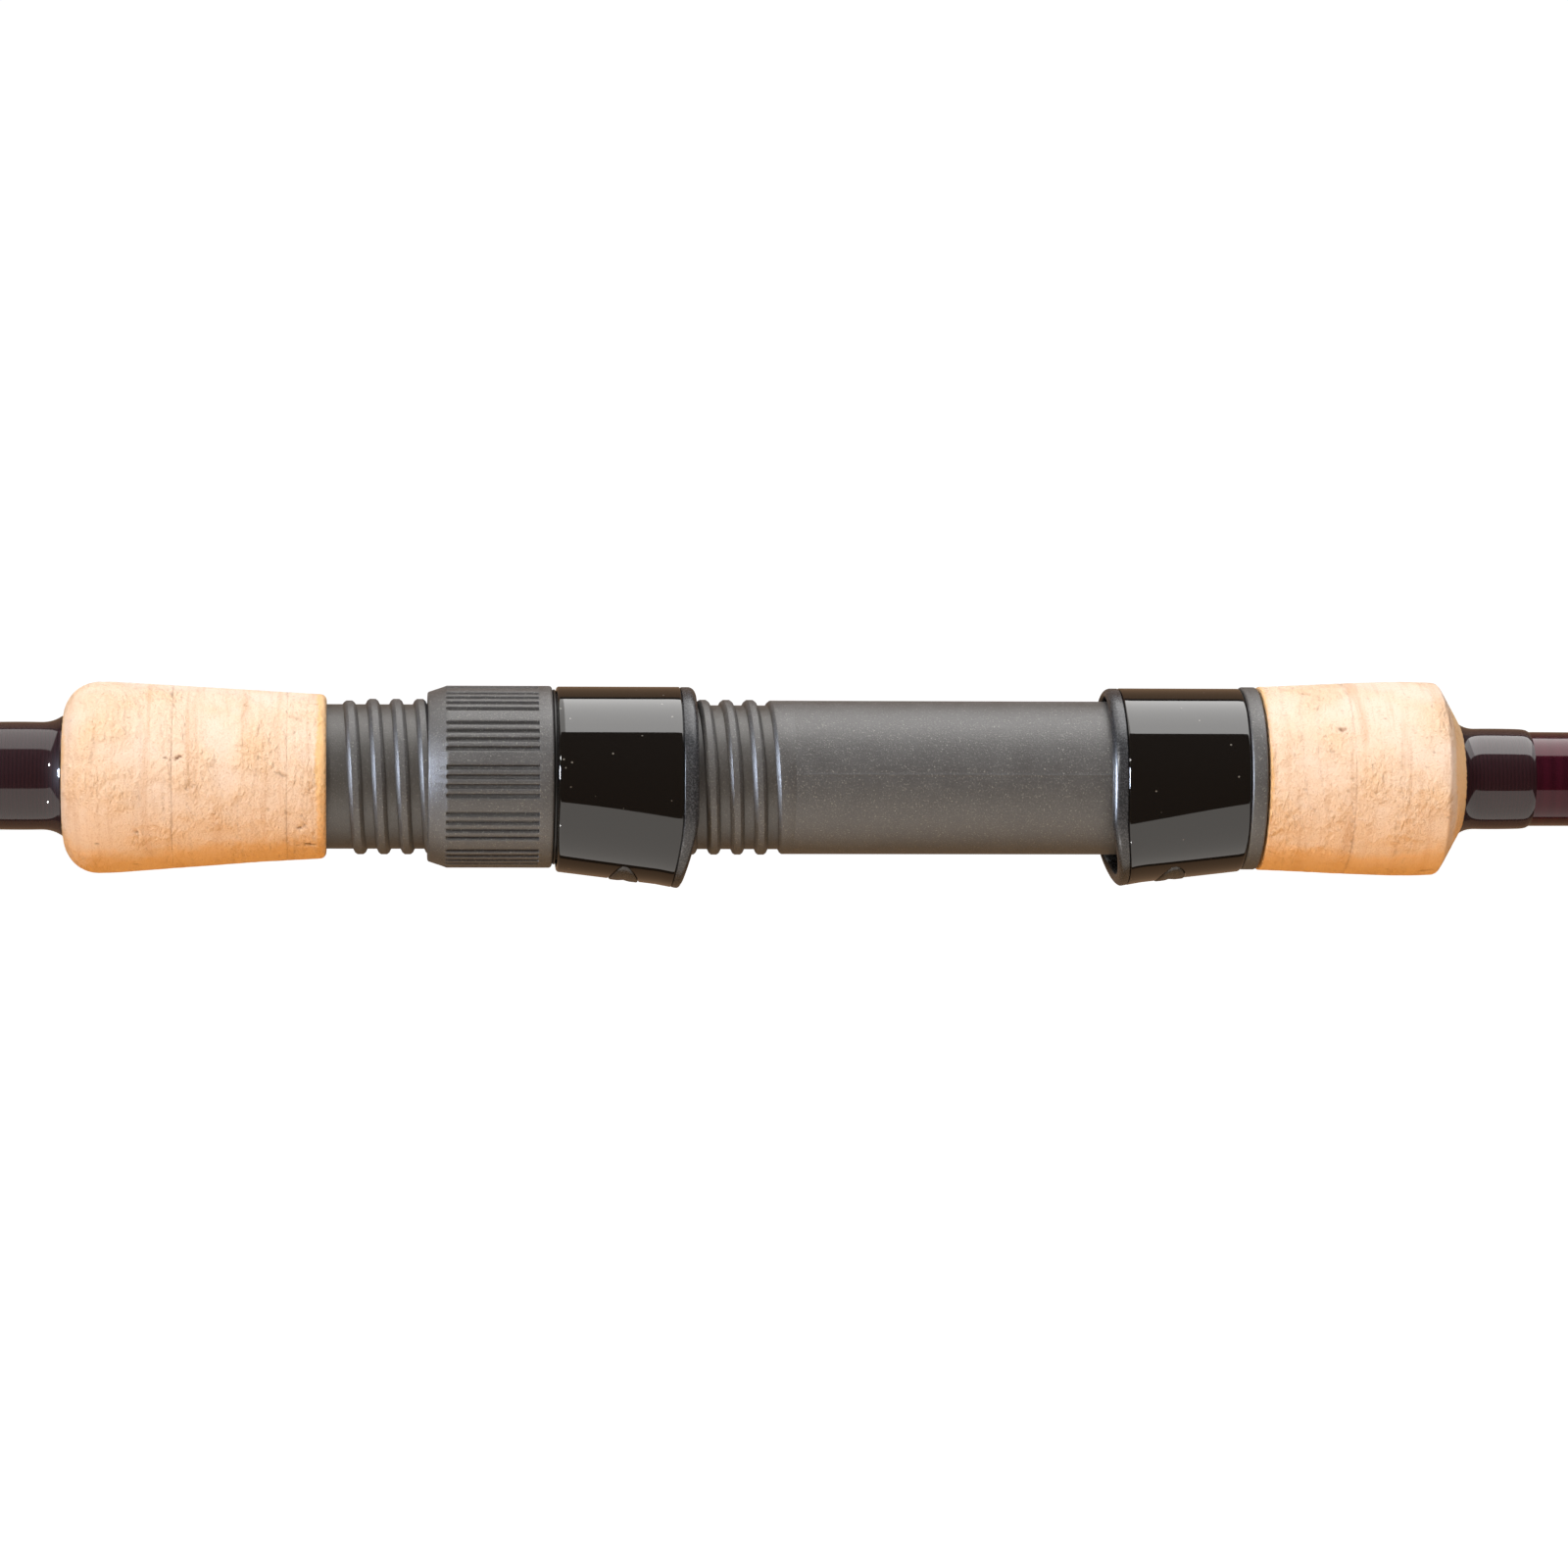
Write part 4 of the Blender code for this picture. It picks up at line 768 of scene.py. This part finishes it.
def makeHood(name, body, back, mouth, own):
    shape = hood
    inward = 1 if mouth > back else -1
    lifts, swell, linerStart = own["lifts"], own["swell"], own["linerStart"]
    lugAt = back + inward * own["lugAt"]
    length = abs(mouth - back)
    angles = evenAngles(shape["sides"])
    inner = shape["radius"] - shape["wall"]

    def at(distance):
        return back + inward * distance

    def liftOuter(x, r):
        share = np.clip((x - back) * inward / length, 0, 1)
        return lifts[0] + (lifts[1] - lifts[0]) * share

    def liftLiner(x, r):
        outer = liftOuter(x, r)
        share = np.clip((x - back) * inward / length, 0, 1)
        inside = np.clip((r - shape["bore"]) / (inner - shape["bore"]), 0, 1)
        boreLift = np.minimum(shape["pocket"] * share ** shape["pocketCurve"], outer)
        return boreLift + (outer - boreLift) * inside

    shellEnd, edge = length - shape["lip"], shape["edge"]
    run = np.linspace(edge, shellEnd - 0.15 * mm, 22)
    outline = [(0.0, inner)] + arc(edge, shape["radius"] - edge, edge, 180, 90, 7)
    outline += [(d, shape["radius"]) for d in run[1:-1]]
    outline += arc(shellEnd - 0.15 * mm, shape["radius"] - 0.15 * mm, 0.15 * mm, 90, 0, 4)
    outline += [(d, inner) for d in np.linspace(shellEnd, edge, 14)]
    rows = shapeHood(turnRows([(at(d), r) for d, r in outline], angles), mouth, inward, liftOuter, swell)
    shell = makePiece(f"{name}Shell", [(rows, "ring")], 40)
    window = makePiece(f"{name}Window", [(ovalRows(lugAt, shape["lugMargin"], 7 * mm, lambda x, y: 16 * mm),
        "rod")])
    cutPiece(shell, window)
    shell.data.shade_smooth()
    shell.data.set_sharp_from_angle(angle=math.radians(40))
    dress(shell, pianoLacquer, "hood_gloss", body, f"{name.replace('H', '_h')}_shell")

    linerOut, lipStart = inner - shape["gap"], shellEnd + shape["gap"]
    lipOut, lipRound, mouthRound = shape["radius"] - 0.02 * mm, shape["lipRound"], shape["mouthRound"]
    outline = [(linerStart, shape["bore"]), (linerStart, linerOut)]
    outline += [(d, linerOut) for d in np.linspace(linerStart + 1 * mm, lipStart - 0.01 * mm, 10)]
    outline += [(lipStart, linerOut)] + arc(lipStart + 0.12 * mm, lipOut - 0.12 * mm, 0.12 * mm, 180, 90, 3)
    outline += arc(length - lipRound, lipOut - lipRound, lipRound, 90, 12, 12)
    outline += [(length - mouthRound * (1 - math.cos(t)), shape["bore"] + shape["mouthRise"]
        * (1 - math.sin(t))) for t in np.linspace(0.1, math.pi / 2, 7)]
    outline += [(d, shape["bore"]) for d in np.linspace(length - 1 * mm, linerStart + 1 * mm, 14)]
    rows = shapeHood(turnRows([(at(d), r) for d, r in outline], angles), mouth, inward, liftLiner, swell)

    def footAt(x, y):
        # the shell's own surface under this point, and a little more
        r = shape["radius"] + float(liftOuter(x, 0))
        for _ in range(6):
            below = math.asin(math.sqrt(r * r - y * y) / r)
            r = shape["radius"] + float(liftOuter(x, 0)) * math.sin(min(swell * below, math.pi / 2)) ** 2
        return math.sqrt(r * r - y * y) + shape["lugRise"]

    lug = ovalRows(lugAt, 0.0, 9.6 * mm, footAt, crown=0.2 * mm)
    liner = makePiece(f"{name}Liner", [(rows, "ring"), (lug, "rod")], 40)
    dress(liner, linerNylon, "hood_liner", body, f"{name.replace('H', '_h')}_liner")


slideLow, slideHigh = stretch("sliding_hood_shell")[0], stretch("sliding_hood_liner")[1]
fixedLow, fixedHigh = stretch("fixed_hood_liner")[0], stretch("fixed_hood_shell")[1]
makeHood("slidingHood", "sliding_hood", slideLow, slideHigh, hood["sliding"])
makeHood("fixedHood", "rod", fixedHigh, fixedLow, hood["fixed"])
print("seat, nut and hoods ready")


# Windings: thread under epoxy, drawn up the face of a grip or over a guide's foot.

def windingOutline(low, high, build, flare, flareLow, steps=26):
    # build is the thickness over the blank, and flare the fillet's extra height at the grip
    rows = []
    for i in range(steps + 1):
        share = i / steps
        fillet = flare * max(0.0, 1 - share / 0.28) ** 2.4
        crown = build * (0.80 + 0.20 * math.sin(math.pi * share))
        edge = math.sqrt(max(0.0, 1 - max(0.0, (share - 0.86) / 0.14) ** 2))
        rows.append((share, crown * (0.12 + 0.88 * edge) + fillet))
    if not flareLow:
        rows = [(1 - share, height) for share, height in rows[::-1]]
    return [(low + (high - low) * share, blankRadius(low + (high - low) * share) + height) for share,
        height in rows]


def makeWindingPiece(name, node, look):
    low, high = stretch(node)
    high += look["reach"] * mm
    outline = windingOutline(low, high, look["build"] * mm, look["flare"] * mm, look["flareLow"])
    outline += [(high, blankRadius(high) + 0.01 * mm), (low, blankRadius(low) + 0.01 * mm)]
    piece = makePiece(name, [(turnRows(outline, evenAngles(128)), "ring")], 50)
    dress(piece, windingEpoxy, "winding_epoxy", "rod", node)


# in mm; flareLow puts the fillet at the butt end, and reach draws the winding on past its node
gripWindings = {
    "butt": {"build": 0.45, "flare": 0.80, "flareLow": True, "reach": 0.0},
    "rear": {"build": 0.32, "flare": 0.75, "flareLow": False, "reach": 0.0},
    "fore": {"build": 0.36, "flare": 0.80, "flareLow": True, "reach": 1.4},
}
for grip, grown in gripWindings.items():
    makeWindingPiece(f"{grip}GripWinding", f"{grip}_grip_wrap", grown)

# Guides: each a polished ring in a welded band, carried by bent wire legs bound to the blank.

guide = {"wire": 0.55 * mm, "clear": 0.12 * mm, "band": 0.7 * mm, "bandWidth": 1.2 * mm, "ringWidth": 1.6
    * mm, "meet": math.radians(38), "wireSides": 16, "cover": 0.5 * mm, "ringShare": 1.22, "slack": 0.35
    * mm, "gap": 0.08 * mm}


def smoothRoute(points, steps=10):
    # a curve through all the points
    pts = [Vector(p) for p in points]
    pts = [2 * pts[0] - pts[1]] + pts + [2 * pts[-1] - pts[-2]]
    route = []
    for a, b, c, d in zip(pts, pts[1:], pts[2:], pts[3:]):
        for i in range(steps):
            t = i / steps
            route.append(0.5 * ((2 * b) + (c - a) * t + (2 * a - 5 * b + 4 * c - d) * t ** 2
                + (3 * b - a - 3 * c + d) * t ** 3))
    return route + [pts[-2]]


def wireRows(route, radiusAt, sides):
    rows, side = [], None
    for i, point in enumerate(route):
        along = (route[min(i + 1, len(route) - 1)] - route[max(i - 1, 0)]).normalized()
        side = along.orthogonal().normalized() if side is None else (side - along
            * side.dot(along)).normalized()
        other = along.cross(side)
        size = radiusAt(i / (len(route) - 1))
        rows.append([tuple(point + size * (side * math.cos(a) + other * math.sin(a)))
            for a in (fullTurn * k / sides for k in range(sides))])
    return np.array(rows)


def bandRows(x, height, inside, wall, width, corner, sides):
    # a ring round the line at this height below the axis, of rounded section
    half, outer = 0.5 * width, inside + wall
    outline = arc(half - corner, inside + corner, corner, -90, 0, 5)
    outline += arc(half - corner, outer - corner, corner, 0, 90, 5)
    outline += arc(corner - half, outer - corner, corner, 90, 180, 5)
    outline += arc(corner - half, inside + corner, corner, 180, 270, 5)
    rows = turnRows(outline, evenAngles(sides))
    return rows + np.array((x, 0.0, -height))


def makeGuide(number):
    look = guide
    low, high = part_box(f"guide_{number}_ring")
    x, height = 0.5 * (low[0] + high[0]), -0.5 * (low[2] + high[2])
    outer = 0.5 * (high[2] - low[2])
    inside = (outer - look["slack"]) / look["ringShare"]
    wall = outer - inside
    sides = 128 if inside > 5 * mm else 80
    ring = makePiece(f"guide{number}Ring", [(bandRows(x, height, inside, wall, look["ringWidth"], 0.49
        * min(wall, look["ringWidth"]), sides), "ring")], 60)
    dress(ring, ceramic, "guide_ceramic", "rod", f"guide_{number}_ring")
    bandInside = outer + look["gap"]
    shells = [(bandRows(x, height, bandInside, look["band"], look["bandWidth"], 0.3 * mm, sides), "ring")]
    reach, foot = 0.75 * height + 1.5 * mm, 7 * mm + 0.2 * height
    twoFeet = f"guide_{number}_front_wrap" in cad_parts
    meetRadius = bandInside + 0.5 * look["band"]
    for direction in ((-1, 1) if twoFeet else (-1,)):
        heel = x + direction * reach
        toe = heel + direction * foot
        for side in (-1, 1):
            surface = -(blankRadius(heel) + look["wire"] + look["clear"])
            toeSurface = -(blankRadius(toe) + look["wire"] * 0.7 + look["clear"])
            ringY = side * meetRadius * math.cos(look["meet"])
            ringZ = -height + meetRadius * math.sin(look["meet"])
            low3 = (x + direction * 0.3 * mm, ringY, ringZ)
            middle = ((heel + x) / 2, ringY * 0.55, (surface + ringZ) / 2)
            route = smoothRoute([(toe, 0.02 * side * mm, toeSurface),
                (heel + direction * 1.5 * mm, 0.12 * side * mm, surface),
                (heel, 0.3 * side * mm, surface - 0.05 * mm), middle, low3])
            shells.append((wireRows(route, lambda s: look["wire"] * min(1.0, 0.55 + 2.2 * s),
                look["wireSides"]), "rod"))
    piece = makePiece(f"guide{number}Frame", shells, 50)
    dress(piece, steel, "guide_steel", "rod", f"guide_{number}_frame")
    for word in ("rear", "front") if twoFeet else ("rear",):
        makeGuideWinding(f"guide{number}{word.title()}Winding", f"guide_{number}_{word}_wrap", -1)


def makeGuideWinding(name, node, side):
    # side is -1 where the foot lies under the blank and 1 where it lies on top
    low, high = stretch(node)
    angles = evenAngles(96)
    foot = 2 * guide["wire"] + guide["clear"]
    lift = np.clip(side * np.sin(angles), 0, 1) ** 14 * foot + np.clip(side * np.sin(angles), 0,
        1) ** 4 * 0.2 * foot
    xs = np.linspace(low, high, 26)
    share = (xs - low) / (high - low)
    taper = np.sqrt(np.clip(1 - np.abs(2 * share - 1) ** 5, 0, 1))
    radius = np.array([blankRadius(x) for x in xs])
    r = radius[:, None] + 0.05 * mm + taper[:, None] * (guide["cover"] * 0.5 + lift[None, :]
        * np.sqrt(taper)[:, None])
    outside = np.stack([np.broadcast_to(xs[:, None], r.shape), r * np.cos(angles), r * np.sin(angles)],
        axis=2)
    inside = turnRows([(xs[-1], radius[-1] + 0.01 * mm), (xs[0], radius[0] + 0.01 * mm)], angles)
    piece = makePiece(name, [(np.concatenate([outside, inside]), "ring")], 50)
    dress(piece, windingEpoxy, "winding_epoxy", "rod", node)


for number in range(1, 7):
    makeGuide(number)


# Hook keeper and tip top

keeper = {"wire": 0.45 * mm, "foot": 4.0 * mm, "rise": 3.6 * mm}
tipTop = {"tube": 1.55 * mm, "bore": 1.02 * mm, "ring": 2.0 * mm, "ringWall": 0.7 * mm, "drop": 3.6 * mm,
    "stay": 0.45 * mm, "bandWall": 0.6 * mm, "tubeLength": 13.5 * mm}


def makeKeeper():
    low, high = stretch("hook_keeper")
    x, wire = 0.5 * (low + high), keeper["wire"]
    span = 0.5 * (high - low) - keeper["foot"]
    surface = blankRadius(x) + wire + 0.12 * mm
    points = [(low, 0, surface), (x - span, 0, surface)]
    points += [(x - span * math.cos(a), 0, surface + keeper["rise"] * math.sin(a))
        for a in (math.radians(t) for t in (30, 60, 90, 120, 150))]
    points += [(x + span, 0, surface), (high, 0, surface)]
    piece = makePiece("hookKeeperWire", [(wireRows(smoothRoute(points, 6), lambda s: wire, 16), "rod")], 60)
    dress(piece, steel, "guide_steel", "rod", "hook_keeper")
    for word in ("rear", "front"):
        makeGuideWinding(f"keeper{word.title()}Winding", f"hook_keeper_{word}_wrap", 1)


def makeTipTop():
    look = tipTop
    tubeStart = stretch("tip_top_frame")[0]
    tubeEnd = tubeStart + look["tubeLength"]
    ringX = 0.5 * sum(stretch("tip_top_ring"))
    angles = evenAngles(64)
    outline = [(tubeStart, look["bore"]), (tubeStart, look["tube"] - 0.15 * mm),
        (tubeStart + 0.15 * mm, look["tube"])]
    outline += arc(tubeEnd - 1.0 * mm, look["tube"] - 1.0 * mm, 1.0 * mm, 90, 0, 8)
    outline += [(tubeEnd, 0.01 * mm), (tubeEnd - 1.0 * mm, 0.01 * mm), (tubeEnd - 1.0 * mm, look["bore"])]
    bandInside = look["ring"] + look["ringWall"] + guide["gap"]
    shells = [(turnRows(outline, angles), "ring"), (bandRows(ringX, look["drop"], bandInside,
        look["bandWall"], 1.2 * mm, 0.25 * mm, 64), "ring")]
    meet = math.radians(50)
    reachOut = bandInside + 0.5 * look["bandWall"]
    for side in (-1, 1):
        route = smoothRoute([(tubeEnd - 5.5 * mm, side * 1.0 * mm, -0.9 * mm),
            (tubeEnd - 3.0 * mm, side * 1.15 * mm, -1.35 * mm), (ringX, side * reachOut * math.cos(meet),
            -look["drop"] + reachOut * math.sin(meet))])
        shells.append((wireRows(route, lambda s: look["stay"], 14), "rod"))
    frameTop = makePiece("tipTopFrame", shells, 50)
    dress(frameTop, steel, "guide_steel", "rod", "tip_top_frame")
    ring = makePiece("tipTopRing", [(bandRows(ringX, look["drop"], look["ring"], look["ringWall"], 1.5 * mm,
        0.33 * mm, 64), "ring")], 60)
    dress(ring, ceramic, "guide_ceramic", "rod", "tip_top_ring")


makeKeeper()
makeTipTop()

for number in range(1, 4):
    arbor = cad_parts[f"seat_arbor_{number}"]
    arbor.data.materials.clear()
    arbor.data.materials.append(foam)
print("guides and fittings ready")


# Camera: level and nearly square on to the rod's side, with a long lens.

view = {"lens": 128.0, "distance": 0.6322, "turn": math.radians(4.2816), "pastSeatMiddle": 5.36 * mm,
    "drop": 0.75 * mm, "roll": math.radians(0.12)}
seatMiddle = 0.5 * (seatStart + seatEnd)
aim = Vector((seatMiddle + view["pastSeatMiddle"], 0.0, -view["drop"]))
eye = aim - view["distance"] * Vector((math.sin(view["turn"]), math.cos(view["turn"]), 0.0))
cameraData = bpy.data.cameras.new("view")
cameraData.lens = view["lens"]
cameraData.sensor_width = 36.0
cameraData.clip_start = 0.01
camera = bpy.data.objects.new("view", cameraData)
camera.location = eye
camera.rotation_euler = (aim - eye).to_track_quat("-Z", "Y").to_euler()
camera.rotation_euler.rotate_axis("Z", view["roll"])
bpy.context.scene.collection.objects.link(camera)
bpy.context.scene.camera = camera


# Studio: softboxes overhead, pale card and warm bounce below, fill and key in front, a cool box at the left.
# A lamp with diffuse or gloss set to False shows only in reflections or only lights the surface.

studio = {
    "middle": Vector((seatMiddle, 0.0, 0.0)), "floorDrop": 0.25, "ambient": "#332f2b",
    "lamps": {
        "softbox": {"at": (0.0, -0.2, 6.0), "size": (10.0, 6.8), "radiance": 1.8, "colour": "#fffdfa",
            "level": True,
                    "diffuse": False},
        "softboxRight": {"at": (4.72, -0.2, 5.8), "size": (9.4, 6.6), "radiance": 1.9, "colour": "#ffffff",
                         "level": True, "diffuse": False},
        "overhead": {"at": (0.5, -0.4, 6.2), "size": (15.0, 7.0), "radiance": 1.75, "colour": "#f8f8ff",
                     "level": True, "gloss": False},
        "card": {"at": (0.0, -2.42, -3.0), "size": (10.0, 6.68), "radiance": 1.15, "colour": "#f8f4ee",
                 "level": True, "diffuse": False},
        "warmBounce": {"at": (0.0, -1.0, -4.0), "size": (10.0, 7.0), "radiance": 1.5, "colour": "#ffc470",
                       "level": True, "gloss": False},
        "frontFill": {"at": (0.5, -5.4, 2.6), "size": (8.0, 4.0), "radiance": 2.55, "colour": "#ffffff",
                      "gloss": False},
        "key": {"at": (-3.4, -4.4, 2.4), "size": (1.6, 1.6), "radiance": 29.0, "colour": "#fffaf2",
            "gloss": False},
        "leftBox": {"at": (-6.0, -2.1, 0.4), "size": (1.1, 1.1), "radiance": 260.0, "colour": "#d8e6ff",
                    "diffuse": False},
        "backBounce": {"at": (0.0, 6.0, -0.5), "size": (14.0, 22.0), "radiance": 0.38, "colour": "#cfa37c",
                       "diffuse": False},
        "backFill": {"at": (0.0, 6.0, 2.0), "size": (8.0, 6.0), "radiance": 1.4, "colour": "#fff8f0",
                     "gloss": False},
        "glint": {"at": (-3.4, -4.4, 2.1), "size": (0.34, 0.34), "radiance": 260.0, "colour": "#ffffff",
                  "diffuse": False},
        "lowGlint": {"at": (-2.6, -2.6, -4.6), "size": (0.24, 0.24), "radiance": 220.0, "colour": "#ffffff",
                     "diffuse": False},
    },
}


def makeLamp(name, look):
    lampData = bpy.data.lights.new(name, "AREA")
    lampData.shape = "RECTANGLE"
    lampData.size, lampData.size_y = look["size"]
    lampData.energy = look["radiance"] * math.pi * look["size"][0] * look["size"][1]
    lampData.color = linear(look["colour"])[:3]
    lamp = bpy.data.objects.new(name, lampData)
    lamp.location = studio["middle"] + Vector(look["at"])
    lamp.rotation_euler = (studio["middle"] - lamp.location).to_track_quat("-Z", "Y").to_euler()
    if "level" in look:       # overhead and underneath lamps lie level
        lamp.rotation_euler = (0.0 if look["at"][2] > 0 else math.pi, 0.0, 0.0)
    lamp.visible_camera = False
    lamp.visible_diffuse = look.get("diffuse", True)
    lamp.visible_glossy = look.get("gloss", True)
    bpy.context.scene.collection.objects.link(lamp)


def makeStudio():
    world = bpy.data.worlds.new("studio")
    bpy.context.scene.world = world
    world.use_nodes = True
    tree = world.node_tree
    tree.nodes.clear()
    seen = addNode(tree, "LightPath").outputs["Is Camera Ray"]
    ambient = addNode(tree, "Background", {"Color": studio["ambient"], "Strength": 1.0})
    white = addNode(tree, "Background", {"Color": (1.0, 1.0, 1.0, 1.0), "Strength": 1.05})
    mix = addNode(tree, "MixShader", {0: seen, 1: ambient.outputs[0], 2: white.outputs[0]})
    addNode(tree, "OutputWorld", {"Surface": mix.outputs[0]})
    for name, look in studio["lamps"].items():
        makeLamp(name, look)

    # painted board, matt and lit to pure white, wide enough for every view, and out of the reflections
    mesh = bpy.data.meshes.new("floor")
    half = 40.0
    mesh.from_pydata([(-half, -half, 0), (half, -half, 0), (half, half, 0), (-half, half, 0)], [],
        [(0, 1, 2, 3)])
    floor = bpy.data.objects.new("floor", mesh)
    floor.location = studio["middle"] - Vector((0, 0, studio["floorDrop"]))
    material, tree, shader, place = startMaterial("mattWhiteBoard",
        {"Roughness": 0.9, "Specular IOR Level": 0.0, "Emission Color": (1.0, 1.0, 1.0, 1.0),
        "Emission Strength": 1.0})
    fibre = addNode(tree, "TexNoise", {"Vector": place, "Scale": 40.0, "Detail": 2.0})
    tone = addNode(tree, "Mix", {0: fibre, 6: "#f4f4f4", 7: "#fafafa"}, data_type="RGBA")
    setSockets(tree, shader, {"Base Color": tone.outputs[2]})
    mesh.materials.append(material)
    bpy.context.scene.collection.objects.link(floor)
    floor.visible_glossy = False
    floor.visible_diffuse = False
    floor.visible_shadow = False
    bpy.context.scene.view_settings.view_transform = "Standard"


makeStudio()
print("studio ready")
